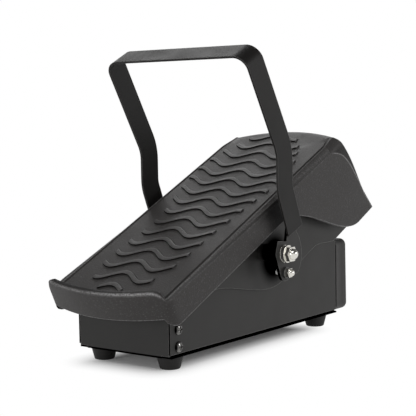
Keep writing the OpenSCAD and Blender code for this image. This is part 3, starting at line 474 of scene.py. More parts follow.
# Handle ears: painted shade on faces turned to the heel.
EAR = replace(SHEET, name="ear_powder", shade_heelward=True)
SWITCH_PLASTIC = Finish("switch_plastic", (0.02, 0.02, 0.024), 0.3, Grain.SMOOTH, grain_depth=0.05)
BUTTON_RED = Finish("button_red", (0.5, 0.05, 0.03), 0.3, Grain.SMOOTH, grain_depth=0.04)
TERMINAL = Finish("terminal_plastic", (0.7, 0.68, 0.6), 0.45, Grain.SMOOTH, grain_depth=0.06)
GEAR_PLASTIC = Finish("gear_plastic", (0.75, 0.73, 0.64), 0.4, Grain.SMOOTH, grain_depth=0.06)
RUBBER = Finish("rubber", (0.0125, 0.0121, 0.0117), 0.62, Grain.RUBBER, grain_size=1.2 * MM, grain_depth=0.25,
                fleck=0.004, specular=0.25)
# Screws: painted shade on the sides of the heads turned to the heel.
BLACK_SCREW = Finish("black_screw", (0.14, 0.137, 0.132), 0.1, Grain.PLATED, metallic=1.0, grain_size=2.5 * MM,
                     grain_depth=1.0, mottle=0.6, edge_light=0.0, edge_radius=0.8 * MM, shade_heelward=True)
ZINC = Finish("zinc", (0.56, 0.57, 0.58), 0.32, Grain.DRAWN, metallic=1.0, grain_size=0.4 * MM, grain_depth=0.08)
# Lock studs and nuts: a pale, barely metallic zinc, as a painted glint that stays bright in the ear's shade.
ZINC_PAINTED_GLINT = replace(ZINC, name="zinc_painted_glint", colour=(0.85, 0.85, 0.83), metallic=0.2)
NICKEL = Finish("nickel", (0.66, 0.645, 0.6), 0.06, Grain.PLATED, metallic=1.0, grain_depth=0.03, mottle=0.05,
                edge_light=0.4, edge_radius=0.4 * MM)
SPRING_STEEL = Finish("spring_steel", (0.45, 0.45, 0.47), 0.25, Grain.DRAWN, metallic=1.0, grain_depth=0.06)
DARK_STEEL = Finish("dark_steel", (0.09, 0.09, 0.09), 0.35, Grain.PLATED, metallic=0.8, grain_depth=0.05)
BRONZE = Finish("bronze", (0.5, 0.34, 0.14), 0.4, Grain.PLATED, metallic=1.0, grain_depth=0.12)
POT_CASE = Finish("pot_case", (0.03, 0.07, 0.035), 0.35, Grain.SMOOTH, grain_depth=0.05)

SLOT_FINISH = {
    "cover_plastic": COVER, "sheet_paint": SHEET, "strap_paint": STRAP, "cap_plastic": CAP,
    "black_plastic": BLACK_PLASTIC, "switch_plastic": SWITCH_PLASTIC, "button_plastic": BUTTON_RED,
    "terminal_plastic": TERMINAL, "gear_plastic": GEAR_PLASTIC, "rubber": RUBBER, "black_screw": BLACK_SCREW,
    "zinc": ZINC, "nickel": NICKEL, "spring_steel": SPRING_STEEL, "dark_steel": DARK_STEEL, "bronze": BRONZE,
    "pot_case": POT_CASE,
}
NODE_FINISH = {"base_tray": TRAY, "side_panel_left": PANEL, "side_panel_right": PANEL, "handle_spacers": SPACER,
               "pedal_frame": PLATE, "handle_ear_left": EAR, "handle_ear_right": EAR, "lock_nuts": ZINC_PAINTED_GLINT,
               "lock_studs": ZINC_PAINTED_GLINT}


@dataclass(frozen=True)
class TreadPlane:
    """The tread's own frame: x across, s up the slope and n square to it, in millimetres."""

    slope: float = math.radians(24.8)
    height: float = 74.7
    shift: float = 149.3002

    def world(self, x: np.ndarray, s: np.ndarray, n: np.ndarray) -> np.ndarray:
        """Turns tread coordinates into points of the row frame.

        Args:
            x: Places across the tread.
            s: Places up the slope.
            n: Heights above the tread.

        Returns:
            An array of points in metres.
        """
        y = s * math.cos(self.slope) - n * math.sin(self.slope) - self.shift
        z = s * math.sin(self.slope) + n * math.cos(self.slope) + self.height
        return np.stack(np.broadcast_arrays(x, y, z), axis=-1).reshape(-1, 3) * MM


def ease(t: np.ndarray) -> np.ndarray:
    """A smooth step from 0 to 1."""
    t = np.clip(t, 0.0, 1.0)
    return t * t * (3 - 2 * t)


def new_piece(name: str, points: np.ndarray, faces: list[np.ndarray], finish: Finish, painted_light: np.ndarray,
              crease: float = 35.0) -> bpy.types.Object:
    """Makes a mesh piece at the origin with smooth faces and sharp creases.

    Args:
        name: The piece's name.
        points: Its vertices in metres.
        faces: Arrays of faces, each with one number of corners.
        finish: Its surface.
        painted_light: How much painted highlight each vertex gets, or below 0 how much painted shade.
        crease: The angle in degrees from which an edge is sharp.

    Returns:
        The linked object.
    """
    mesh = bpy.data.meshes.new(name)
    corners = np.concatenate([block.ravel() for block in faces])
    sizes = np.concatenate([np.full(len(block), block.shape[1]) for block in faces])
    mesh.vertices.add(len(points))
    mesh.vertices.foreach_set("co", points.astype(np.float32).ravel())
    mesh.loops.add(len(corners))
    mesh.loops.foreach_set("vertex_index", corners.astype(np.int32))
    mesh.polygons.add(len(sizes))
    mesh.polygons.foreach_set("loop_start", (np.cumsum(sizes) - sizes).astype(np.int32))
    mesh.update(calc_edges=True)
    mesh.validate()
    mesh.shade_smooth()
    mesh.set_sharp_from_angle(angle=math.radians(crease))
    mesh.attributes.new("painted_light", "FLOAT", "POINT").data.foreach_set("value", painted_light.astype(np.float32))
    mesh.materials.append(finish.material())
    piece = bpy.data.objects.new(name, mesh)
    bpy.context.scene.collection.objects.link(piece)
    log.info("built %s: %d points, %d faces", name, len(points), len(sizes))
    return piece


def ring_faces(rings: int, count: int) -> np.ndarray:
    """Quads between closed rings that follow one another.

    Args:
        rings: How many rings there are.
        count: How many points each ring has.

    Returns:
        An array of four vertex numbers per face.
    """
    row = np.arange(rings - 1)[:, None] * count
    here = np.arange(count)[None, :]
    after = (here + 1) % count
    return np.stack([row + here, row + after, row + count + after, row + count + here], axis=-1).reshape(-1, 4)


class Stretch(IntEnum):
    """Stretches of the cover's outline, from the middle of the heel to the middle of the toe."""

    HEEL_ARC = 0
    HEEL_CORNER = 1
    SIDE = 2
    BAND = 3
    TOE_CORNER = 4
    TOE_ARC = 5


@dataclass
class TreadCover:
    """The moulded cover of the tread.

    A closed outline is drawn at many insets and heights: heel arc, heel corners, straight sides, a band behind
    a crease, toe corners and toe arc. The rings are joined from the middle of the underside out to the wall,
    down to the lower edge, up the outside, over the shoulder, lip or toe, and back to the middle of the tread.
    Each point mixes the profiles of shoulder, lip and toe by where it stands on the outline. The heel corners
    and the tabs have a right and a left size.
    """

    plane: TreadPlane = field(default_factory=TreadPlane)
    half_width: float = 68.0
    wall: float = 3.5
    least_radius: float = 0.5
    heel_radius: float = 197.0
    heel_centre: float = 162.6
    heel_corner: Span = (9.0, 2.0)
    toe_radius: float = 161.6
    toe_centre: float = 137.3
    toe_lean: float = math.radians(14.5)
    toe_round: Span = (13.5, 17.5)
    toe_corner: Span = (9.0, 1.0)
    toe_hollow: Span = (3.4, 1.9)
    toe_tuck: float = 2.4
    crease: float = math.radians(9.0)
    crease_start: float = 276.8
    crease_slant: float = 0.32
    crease_bend: tuple[float, float, float] = (19.5, 8.2, 8.8)
    crease_near: Span = (0.9945, 0.998)
    band_share: float = 0.3
    lip_height: float = 10.0
    lip_drop: float = 16.6
    lip_right: Span = (53.0, 13.0)
    lip_left: Span = (64.0, 3.0)
    lip_end: Span = (65.5, 2.2)
    skirt_front: float = 25.5
    skirt_rear: float = 95.4
    skirt_wave: tuple[float, float, float] = (148.0, 130.0, 1.1)
    tab_front: Span = (25.5, 22.6)
    tab_round: float = 9.0
    edge_round: float = 0.4
    edge_rise: float = 1.1
    wall_rings: int = 18
    wall_crowding: float = 0.6
    shoulder_run: float = 230.0
    steps: tuple[int, int, int, int, int, int] = (30, 12, 96, 10, 14, 30)

    # Profiles as insets and heights, from the wall to the tread.
    SHOULDER_HEEL = ((0.0, -1.4), (0.0, -0.8), (0.15, -0.5), (0.6, -0.4), (3.0, -0.35), (3.8, -0.2), (4.7, 0.0),
                     (5.5, -0.05), (6.3, -0.9), (7.7, -0.9), (8.6, 0.0))
    SHOULDER_TOE = ((0.0, -7.8), (0.0, -7.3), (0.12, -6.9), (0.35, -6.5), (1.4, -4.9), (1.75, -4.3), (4.5, -0.4),
                    (5.5, -0.05), (6.3, -0.9), (7.7, -0.9), (8.6, 0.0))
    LIP = ((0.0, 6.6), (0.15, 8.1), (0.7, 9.2), (1.6, 9.75), (2.8, 9.95), (4.6, 10.0), (6.0, 9.75), (6.9, 8.4),
           (7.2, 4.0), (7.7, 1.0), (9.5, 0.0))
    INSIDE = ((9.0, -3.5), (5.5, -4.6), (3.5, -9.0))
    INSIDE_LIP = ((12.0, -3.5), (5.0, -4.4), (3.5, -7.0))
    INSIDE_TOE = ((16.0, -3.5), (8.0, -7.0), (3.5, -16.0))
    UNDERSIDE = (66.0, 30.0)
    TREAD = (18.0, 42.0, 66.0)

    # Painted highlights and painted shade along those profiles and on the outer wall. A run has a start and a
    # length, other pairs a value and what is added to it along the way.
    SHOULDER_LIGHT_HEEL = (0.0, 0.2, 0.35, 0.1, 0.0, 0.5, 0.9, 0.4, -0.15, -0.15, 0.0)
    SHOULDER_LIGHT_TOE = (0.0, 0.2, 0.35, 0.1, 0.25, 0.35, 0.0, 0.5, -0.15, -0.15, 0.0)
    # The lip: a painted highlight on its top edge, stronger to the right, and painted shade behind it, darker to the
    # left.
    LIP_LIGHT = (0.0, 0.5, 1.9, 1.3, -0.5, -0.9, -0.9, -0.9, -0.9, -0.7, 0.0)
    LIP_SHINE = (0.7, 0.5)
    LIP_SHINE_RUN = (-20.0, 55.0)
    LIP_BALANCE = 1.6
    # Painted highlights on the lower edge and the crease, painted shade on the rear face and the left tab.
    EDGE_HIGHLIGHT = 1.5
    CREASE_HIGHLIGHT = (2.0, -0.6)
    REAR_SHADE = (-0.3, -0.2)
    TAB_SHADE = -1.2
    TAB_RUN = 1.5
    # Painted shadow of the handle's strap on the right wall and shoulder.
    STRAP_SHADOW = -0.85
    STRAP_RUN_IN = (112.0, 30.0)
    STRAP_RUN_OUT = (152.0, 14.0)
    STRAP_RINGS = 5

    def build(self) -> bpy.types.Object:
        """Makes the shell and its ribs as one piece.

        Returns:
            The piece, which stands for the CAD cover and rides on the tread.
        """
        shell, shell_faces, shell_painted_light = self._shell()
        ribs, rib_faces, rib_painted_light = WavyRibs(self.plane).build()
        faces = shell_faces + [block + len(shell) for block in rib_faces]
        piece = new_piece("tread_cover", np.concatenate([shell, ribs]), faces, COVER,
                          painted_light=np.concatenate([shell_painted_light, rib_painted_light]))
        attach(piece, "pedal")
        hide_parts("pedal_cover")
        return piece

    def _stations(self) -> tuple[np.ndarray, np.ndarray, np.ndarray]:
        """Stretch, share along it and side of every point of the outline.

        Shares are even but for the last two on the sides, which crowd up to the crease.

        Returns:
            Numbers of the stretch, shares from 0 to 1, and +1 on the right or -1 on the left.
        """
        kind = np.repeat(np.arange(len(Stretch)), self.steps)
        share = np.concatenate([np.arange(count) / count for count in self.steps])
        share[np.flatnonzero(kind == Stretch.SIDE)[-2:]] = self.crease_near
        kind, share = np.append(kind, Stretch.TOE_ARC), np.append(share, 1.0)
        side = np.ones(len(kind))
        return (np.concatenate([kind, kind[-2:0:-1]]), np.concatenate([share, share[-2:0:-1]]),
                np.concatenate([side, -side[-2:0:-1]]))

    def outline(self, inset: np.ndarray, height: np.ndarray) -> tuple[np.ndarray, np.ndarray]:
        """Places of the outline's points for an inset and a height of each.

        The heel's arc runs into corner circles that touch it and the sides from within. At the toe each side ends
        at the crease line, a straight band turns in from there, and a corner circle joins it to the rear arc.

        Args:
            inset: Distances inwards from the outer wall.
            height: Heights above the tread.

        Returns:
            The points' x and s.
        """
        kind, share, side = self._stations()
        quarter = math.pi / 2
        sin, cos = math.sin(self.crease), math.cos(self.crease)
        half = self.half_width - inset
        front = self.heel_radius - inset
        heel_r = np.maximum(np.where(side > 0, *self.heel_corner) - inset, self.least_radius)
        heel_turn = np.arcsin((half - heel_r) / (front - heel_r))
        heel_s = self.heel_centre - (front - heel_r) * np.cos(heel_turn)
        rear, toe_r = self._toe(inset, height)
        toe_x = half - toe_r * cos
        end = np.sqrt(np.maximum((rear - toe_r) ** 2 - toe_x ** 2, 0)) + toe_r * sin
        crease_s = np.minimum(self.crease_line(height) - self.toe_centre, end)
        toe_s = crease_s - toe_r * sin
        along = toe_s * cos - toe_x * sin
        band = np.sqrt(np.maximum(along ** 2 - toe_x ** 2 - toe_s ** 2 + (rear - toe_r) ** 2, 0)) - along
        band = np.maximum(band, 0)
        toe_x, toe_s = toe_x - band * sin, toe_s + band * cos
        toe_turn = np.arctan2(toe_x, toe_s)
        a = share * heel_turn
        b = heel_turn + share * (quarter - heel_turn)
        c = quarter - self.crease + share * (toe_turn - quarter + self.crease)
        d = (1 - share) * toe_turn
        x = np.choose(kind, [front * np.sin(a), half - heel_r + heel_r * np.sin(b), half,
                             half - share * band * sin, toe_x + toe_r * np.sin(c), rear * np.sin(d)])
        s = np.choose(kind, [self.heel_centre - front * np.cos(a), heel_s - heel_r * np.cos(b),
                             heel_s + share * (self.toe_centre + crease_s - heel_s),
                             self.toe_centre + crease_s + share * band * cos,
                             self.toe_centre + toe_s + toe_r * np.cos(c), self.toe_centre + rear * np.cos(d)])
        return x * side, s

    def _rim(self) -> tuple[np.ndarray, np.ndarray]:
        """Places x and s of the outline's points on the outer wall at the tread's height."""
        level = np.zeros(2 * sum(self.steps))
        return self.outline(level, level)

    def _toe(self, inset: np.ndarray, height: np.ndarray) -> tuple[np.ndarray, np.ndarray]:
        """Radii of the toe's arc and of its corners.

        The rear face leans, hollows by a squared sine and tucks in by a square, and its corners sharpen downwards.

        Args:
            inset: Distances inwards from the outer wall.
            height: Heights above the tread.

        Returns:
            The radii of the arc and of the corners.
        """
        hollow, power = self.toe_hollow
        sink = np.clip(-height / self.skirt_rear, 0, 1)
        rear = self.toe_radius - inset / math.cos(self.toe_lean) - height * math.tan(self.toe_lean)
        rear = rear - hollow * np.sin(math.pi * sink ** power) ** 2 - self.toe_tuck * sink ** 2
        high, low = self.toe_corner
        return rear, np.maximum(low + (high - low) * (1 - sink) ** 3 - inset, self.least_radius)

    def crease_line(self, height: np.ndarray) -> np.ndarray:
        """Where the side wall ends at the toe.

        A slanted line bends forward, by an exponential, into the shoulder's lower edge.

        Args:
            height: Heights above the tread.

        Returns:
            Places s.
        """
        reach, drop, fade = self.crease_bend
        low = np.minimum(height, self.SHOULDER_TOE[0][1])
        return self.crease_start - self.crease_slant * low - reach * np.exp((low + drop) / fade)

    def _lip_fall(self, out: np.ndarray, start: float, radius: float) -> np.ndarray:
        """Heights of the lip's top, which falls off in a quarter circle.

        Args:
            out: Places across, counted outwards.
            start: Where the circle begins.
            radius: Its radius.

        Returns:
            Heights above the tread.
        """
        fall = np.clip(radius ** 2 - np.clip(out - start, 0, radius) ** 2, 0, None)
        return self.lip_height - radius + np.sqrt(fall)

    def _weights(self) -> tuple[np.ndarray, np.ndarray]:
        """Shares of the lip and of the toe in every point's profile.

        The lip falls off in a wide circle at the right, and in a small one and an eased step at the left corner.

        Returns:
            The lip's and the toe's shares.
        """
        kind, share, _ = self._stations()
        x, _ = self._rim()
        right = self._lip_fall(x, *self.lip_right)
        start, run = self.lip_end
        rest = self.lip_height - self.lip_left[1]
        left = self._lip_fall(-x, *self.lip_left) - rest * ease((-x - start) / run)
        lip = np.where(kind <= Stretch.HEEL_CORNER, np.clip(np.minimum(right, left) / self.lip_height, 0, 1), 0)
        band = self.band_share
        toe = np.select([kind == Stretch.TOE_ARC, kind == Stretch.TOE_CORNER, kind == Stretch.BAND],
                        [1.0, band + (1 - band) * ease(share), band * ease(share)], 0.0)
        return lip, toe

    def lower_edge(self, s: np.ndarray) -> np.ndarray:
        """Heights of the skirt's lower edge: level at the front, a round tab, level, and a wave down to the toe.

        Args:
            s: Places of the outline's points up the slope.

        Returns:
            Heights above the tread.
        """
        kind, _, side = self._stations()
        tab = np.clip((s + np.where(side > 0, *self.tab_front)) / self.tab_round, 0, 1)
        tab = np.where(kind == Stretch.HEEL_ARC, 0.0, np.sqrt(1 - (1 - tab) ** 2))
        start, run, power = self.skirt_wave
        wave = ease(np.clip((s - start) / run, 0, None) ** power)
        return (-self.lip_drop - (self.skirt_front - self.lip_drop) * tab
                - (self.skirt_rear - self.skirt_front) * wave)

    def _skirt(self) -> np.ndarray:
        """Heights of the lower edge, found in four rounds because the toe's lean moves its points.

        Returns:
            One height above the tread per point of the outline.
        """
        inset = np.zeros(2 * sum(self.steps))
        low = inset - self.skirt_front
        for _ in range(4):
            low = self.lower_edge(self.outline(inset, low)[1])
        return low

    def _toe_profile(self) -> np.ndarray:
        """Insets and heights of the toe's round upper edge, from the rear face to the tread.

        Returns:
            An array of profile steps by inset and height by points of the outline.
        """
        kind, share, _ = self._stations()
        middle, corner = self.toe_round
        radius = np.where(kind == Stretch.TOE_ARC, middle + (corner - middle) * (1 - share) ** 2, corner)
        angle = np.linspace(self.toe_lean, math.pi / 2, len(self.LIP))[:, None]
        height = radius * (np.sin(angle) - 1)
        inset = radius * (math.tan(math.pi / 4 - self.toe_lean / 2) - np.cos(angle)) - height * math.tan(self.toe_lean)
        return np.stack([inset * math.cos(self.toe_lean), height], axis=1)

    def _shoulder_profile(self) -> tuple[np.ndarray, np.ndarray]:
        """Insets, heights and painted light of the shoulder, which deepens evenly from the heel to the toe; the
        painted light is a highlight on the ridge and shade in the groove.

        Returns:
            An array of profile steps by inset and height by points of the outline, and one of steps by points.
        """
        share = np.clip(self._rim()[1] / self.shoulder_run, 0, 1)
        heel, toe = (np.array(profile)[:, :, None] for profile in (self.SHOULDER_HEEL, self.SHOULDER_TOE))
        light_heel, light_toe = (np.array(painted_light)[:, None] for painted_light in (self.SHOULDER_LIGHT_HEEL, self.SHOULDER_LIGHT_TOE))
        return heel + share * (toe - heel), light_heel + share * (light_toe - light_heel)

    def _mixed(self, side: Profile, heel: Profile, rear: Profile) -> list[tuple[np.ndarray, np.ndarray]]:
        """Rings that mix three profiles by every point's shares.

        Args:
            side: The profile along the sides.
            heel: The lip's profile.
            rear: The toe's profile.

        Returns:
            Insets and heights of each ring.
        """
        lip, toe = self._weights()
        plain = 1 - lip - toe
        return [tuple(plain * a[j] + lip * b[j] + toe * c[j] for j in range(2)) for a, b, c in zip(side, heel, rear)]

    def _rise(self) -> tuple[float, ...]:
        """Shares of the way up the outer wall, closer together near its top."""
        return (0.0, *np.linspace(0, 1, self.wall_rings)[1:-1] ** self.wall_crowding)

    def _strap_shade(self) -> np.ndarray:
        """Painted shadow of the handle's strap on the right wall, eased in and out along the slope.

        Returns:
            One value per point of the outline.
        """
        kind, _, side = self._stations()
        _, s = self._rim()
        (start, come), (end, go) = self.STRAP_RUN_IN, self.STRAP_RUN_OUT
        wall = (side > 0) & (kind == Stretch.SIDE)
        return self.STRAP_SHADOW * wall * ease((s - start) / come) * (1 - ease((s - end) / go))

    def _wall_light(self, heights: list[np.ndarray]) -> list[np.ndarray]:
        """Painted light of the outer wall, from its lower edge up.

        The lower edge gets a painted highlight, and so does the crease at the toe, less towards its top. The rear face
        gets painted shade, more so towards its top. The left tab gets no highlight, and painted shade below the
        front's lower edge. The strap's painted shadow lies on the right wall.

        Args:
            heights: Heights of the wall's rings, the first two of them on the lower edge.

        Returns:
            The painted light of each ring.
        """
        kind, share, side = self._stations()
        last = (kind == Stretch.SIDE) & (share == self.crease_near[1])
        crease = last | ((kind == Stretch.BAND) & (share == 0))
        rear = (kind >= Stretch.BAND) & ~crease
        low = heights[0]
        near = (kind > Stretch.HEEL_ARC) & (kind < Stretch.BAND) & (self.outline(0 * low, low)[1] < 0)
        tab = (side < 0) & near
        edge = np.where(tab, 0.0, self.EDGE_HIGHLIGHT)
        (crease_lift, crease_lift_gain), (dark, dark_gain) = self.CREASE_HIGHLIGHT, self.REAR_SHADE
        levels = [edge, edge, *(crease * (crease_lift + crease_lift_gain * t) + rear * (dark + dark_gain * t) for t in self._rise())]
        shade = self._strap_shade()
        return [level + (shade + self.TAB_SHADE * tab * ease((-self.lip_drop - height) / self.TAB_RUN))
                for level, height in zip(levels, heights)]

    def _top_light(self, shoulder_painted_light: np.ndarray) -> list[np.ndarray]:
        """Painted light of shoulder and lip: painted highlights on the ridge and the lip's top edge, painted shade in
        the groove, behind the lip's edge and in the strap's shadow, where the lip shines more to the right and is
        darker to the left.

        Args:
            shoulder_painted_light: The shoulder's painted light, by profile steps and points.

        Returns:
            The painted light of each ring.
        """
        kind, _, _ = self._stations()
        lip, toe = self._weights()
        plain = (1 - lip - toe) * (kind < Stretch.BAND)
        (least, gain), (start, run) = self.LIP_SHINE, self.LIP_SHINE_RUN
        shine = least + gain * ease((self._rim()[0] - start) / run)
        shade = self._strap_shade()
        return [plain * a + lip * b * (shine if b > 0 else self.LIP_BALANCE - shine) + shade * (k < self.STRAP_RINGS)
                for k, (a, b) in enumerate(zip(shoulder_painted_light, self.LIP_LIGHT))]

    def _shell(self) -> tuple[np.ndarray, list[np.ndarray], np.ndarray]:
        """Joins the rings into a closed shell.

        Returns:
            Its points in metres, its faces, and the points' painted light.
        """
        shoulder, shoulder_painted_light = self._shoulder_profile()
        outside = self._mixed(shoulder, self.LIP, self._toe_profile())
        inside = self._mixed(self.INSIDE, self.INSIDE_LIP, self.INSIDE_TOE)
        low, edge = self._skirt(), self.edge_round
        foot = low + self.edge_rise
        walls = [foot + t * (outside[0][1] - low - self.edge_rise) for t in self._rise()]
        under = [*((inset, -self.wall) for inset in self.UNDERSIDE), *inside, (self.wall, low + edge),
                 (self.wall - edge, low)]
        rings = [*under, (edge, low), (0.0, low + edge), *((0.0, height) for height in walls), *outside,
                 *((inset, 0.0) for inset in self.TREAD)]
        even = np.ones(len(low))
        rings = [(inset * even, height * even) for inset, height in rings]
        painted_light = np.concatenate([0 * even for _ in under] + self._wall_light([low, low + edge, *walls])
                              + self._top_light(shoulder_painted_light) + [0 * even for _ in self.TREAD])
        points = np.concatenate([self.plane.world(*self.outline(*ring), ring[1]) for ring in rings])
        count = len(even)
        half = count // 2
        right = np.arange(1, half)
        left = count - right
        strip = np.stack([right[:-1], right[1:], left[1:], left[:-1]], axis=-1)
        ends = np.array([[0, 1, count - 1], [half, half + 1, half - 1]])
        top = (len(rings) - 1) * count
        faces = [ring_faces(len(rings), count), strip + top, strip[:, ::-1], ends + top, ends[:, ::-1]]
        return points, faces, painted_light


@dataclass
class WavyRibs:
    """The raised wavy ribs of the tread, in the outline of a shoe sole.

    A flat-topped profile with a steep front is carried along a cosine wave that tilts a little, from the left to
    the right end of each row. Both ends are closed.
    """

    plane: TreadPlane
    pitch: float = 19.36
    first: float = -14.7
    wave_height: float = 6.0
    wave_length: float = 50.7
    wave_shift: float = 5.6
    tilt: float = -0.037
    steps: int = 72
    tip_share: float = 0.01

    ENDS = ((18, 10), (35, 31), (42, 38), (42, 39.5), (41, 40), (38.5, 41), (37.5, 43.5), (41, 46), (48, 49),
            (53, 51.5), (57.5, 53), (59, 53), (57.5, 46.5), (53, 39), (45, 32), (38, 22))
    PROFILE = ((0.0, -0.6), (0.0, 0.95), (0.2, 1.15), (4.4, 1.15), (5.3, 0.85), (6.0, 0.0), (6.1, -0.6))
    # Painted shade on each rib's steep front and a painted highlight on its back slope; at both ends the shade turns
    # into a highlight.
    RIB_LIGHT = (-1.0, -0.9, 0.0, 0.0, 0.45, 0.0, 0.0)

    def build(self) -> tuple[np.ndarray, list[np.ndarray], np.ndarray]:
        """Makes all the ribs.

        Returns:
            Their points in metres, their faces, and the points' painted light.
        """
        left, right = np.array(self.ENDS).T
        rows = len(left)
        row = self.first + self.pitch * np.arange(rows)
        share = np.linspace(0, 1, self.steps)[None, :]
        x = -left[:, None] * (1 - share) + right[:, None] * share
        wave = self.wave_height * np.cos(2 * math.pi * (x + self.wave_shift) / self.wave_length) + self.tilt * x
        across, height = np.array(self.PROFILE).T
        s = (row[:, None] + wave)[:, :, None] + across
        points = self.plane.world(np.broadcast_to(x[:, :, None], s.shape), s, np.broadcast_to(height, s.shape))
        ring = len(across)
        tube = ring_faces(self.steps, ring)
        end = np.arange(ring)[None, :]
        offset = (np.arange(rows) * self.steps * ring)[:, None, None]
        caps = np.concatenate([end[:, ::-1], end + (self.steps - 1) * ring])
        faces = [(tube[None] + offset).reshape(-1, 4), (caps[None] + offset).reshape(-1, ring)]
        tip = np.abs(share - 0.5).T > 0.5 - self.tip_share
        painted_light = np.where(tip, np.abs(self.RIB_LIGHT), self.RIB_LIGHT)
        return points, faces, np.tile(painted_light.ravel(), rows)


@dataclass
class RearCap:
    """The moulded cap that closes the base at the rear.

    Rounded rectangles are drawn at many depths and joined: up the inside to the open rim, back along the outside,
    and in over a quarter circle to the flat rear face, which leans in a little towards its top.
    """

    wall: float = 2.5
    corner: float = 6.5
    least_radius: float = 0.4
    floor_inset: float = 0.5
    groove: float = 1.4
    groove_draft: float = 0.1
    rim: float = 0.6
    rim_chamfer: float = 0.3
    lean: float = 1.5
    steps: int = 10

    # Painted shade in the groove at the open rim, and painted highlights on the outer wall just behind it.
    RIM_LIGHT = (-1.0, -1.0, -1.0, 0.3, 0.6)

    def build(self) -> bpy.types.Object:
        """Makes the cap in the space of its solid.

        Returns:
            The piece, which stands for the CAD cap and rides on the base.
        """
        low, high = (np.array(corner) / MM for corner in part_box("rear_cap"))
        depth = high[1] - low[1]
        turn = np.linspace(0, math.pi / 2, self.steps)[1:]
        inner = self.corner - self.wall
        rings = [(depth - self.wall, self.corner + self.floor_inset)]
        rings += [(depth - self.corner + inner * a, self.corner - inner * b)
                  for a, b in zip(np.cos(turn), np.sin(turn))]
        rings += [(self.groove, self.wall), (0.0, self.wall - self.rim_chamfer)]
        start = len(rings)
        rings += [(0.0, self.groove), (self.groove, self.groove), (self.groove + self.groove_draft, self.rim),
                  (self.groove + self.rim, 0.0), (self.groove + 2 * self.rim, 0.0), (0.5 * depth, 0.0),
                  (depth - self.corner, 0.0)]
        rings += [(depth - self.corner + self.corner * a, self.corner - self.corner * b)
                  for a, b in zip(np.sin(turn), np.cos(turn))]
        painted_light = np.zeros(len(rings))
        painted_light[start:start + len(self.RIM_LIGHT)] = self.RIM_LIGHT
        points = np.concatenate([self._ring(low, high, *ring) for ring in rings])
        count = 4 * self.steps
        end = np.arange(count)[None, :]
        faces = [ring_faces(len(rings), count)[:, ::-1], end, end[:, ::-1] + (len(rings) - 1) * count]
        piece = new_piece("rear_cap_shell", points * MM, faces, CAP, painted_light=np.repeat(painted_light, count))
        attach(piece, "base")
        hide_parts("rear_cap")
        return piece

    def _ring(self, low: np.ndarray, high: np.ndarray, depth: float, inset: float) -> np.ndarray:
        """Points of one rounded rectangle, moved forward by the lean in the rear half.

        Args:
            low: The solid's lowest corner.
            high: Its highest corner.
            depth: The distance behind the open rim.
            inset: The distance inwards from the outer wall.

        Returns:
            An array of points in millimetres.
        """
        angle = (np.arange(4)[:, None] * math.pi / 2 + np.linspace(0, math.pi / 2, self.steps)).ravel()
        radius = max(self.corner - inset, self.least_radius)
        half = (high - low) / 2 - inset - radius
        quarter = np.repeat(np.arange(4), self.steps)
        across = np.choose(quarter, [1, -1, -1, 1])
        up = np.choose(quarter, [1, 1, -1, -1])
        x = (low[0] + high[0]) / 2 + across * half[0] + radius * np.cos(angle)
        z = (low[2] + high[2]) / 2 + up * half[2] + radius * np.sin(angle)
        total = high[1] - low[1]
        lean = self.lean * (z - low[2]) / (high[2] - low[2]) * max(0.0, 2 * depth / total - 1)
        return np.stack([x, low[1] + depth - lean, z], axis=-1)


@dataclass
class ReturnSpring:
    """The coil spring that lifts the tread.

    A circle is carried along a helix of even pitch between the ends of the spring's solid, and both ends are closed.
    """

    wire: float = 2.2
    turns: int = 7
    steps: int = 40
    sides: int = 12
    pressed: float = 0.62

    def build(self) -> bpy.types.Object:
        """Makes the spring in the space of its solid.

        Returns:
            The piece, which stands for the CAD spring and rides on the base.
        """
        low, high = (np.array(corner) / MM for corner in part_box("return_spring"))
        middle = (low + high) / 2
        radius = self.wire / 2
        share = np.linspace(0, 1, self.turns * self.steps + 1)[:, None]
        turn = 2 * math.pi * self.turns * share
        angle = np.arange(self.sides)[None, :] * 2 * math.pi / self.sides
        reach = (high[0] - low[0]) / 2 - radius + radius * np.cos(angle)
        height = low[2] + radius + share * (high[2] - low[2] - self.wire) + radius * np.sin(angle)
        points = np.stack([middle[0] + reach * np.cos(turn), middle[1] + reach * np.sin(turn), height], axis=-1)
        points = points.reshape(-1, 3) * MM
        end = np.arange(self.sides)[None, :]
        faces = [ring_faces(len(share), self.sides)[:, ::-1], end, end[:, ::-1] + (len(share) - 1) * self.sides]
        piece = new_piece("return_spring_coil", points, faces, SPRING_STEEL, painted_light=np.zeros(len(points)))
        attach(piece, "base")
        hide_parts("return_spring")
        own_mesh(piece)
        return piece


def dress_nodes() -> None:
    """Gives every node of the frame its own finish or that of its material slot."""
    for part in frame["record"]["subparts"]:
        finish = NODE_FINISH.get(part["node"], SLOT_FINISH[part["material_slot"]])
        node = frame["nodes"][part["node"]]
        node.data.materials.clear()
        node.data.materials.append(finish.material())
        log.info("dressed %s with %s", part["node"], finish.name)


@dataclass(frozen=True)
class Lamp:
    """A square soft lamp: where it hangs, the point it faces, the length of its sides and its power in watts."""

    name: str
    place: Point
    target: Point
    size: float
    power: float

    def build(self) -> None:
        """Hangs the lamp."""
        lamp = bpy.data.lights.new(self.name, "AREA")
        lamp.size = self.size
        lamp.energy = self.power
        holder = bpy.data.objects.new(self.name, lamp)
        holder.location = self.place
        holder.rotation_euler = (Vector(self.target) - Vector(self.place)).to_track_quat("-Z", "Y").to_euler()
        bpy.context.scene.collection.objects.link(holder)


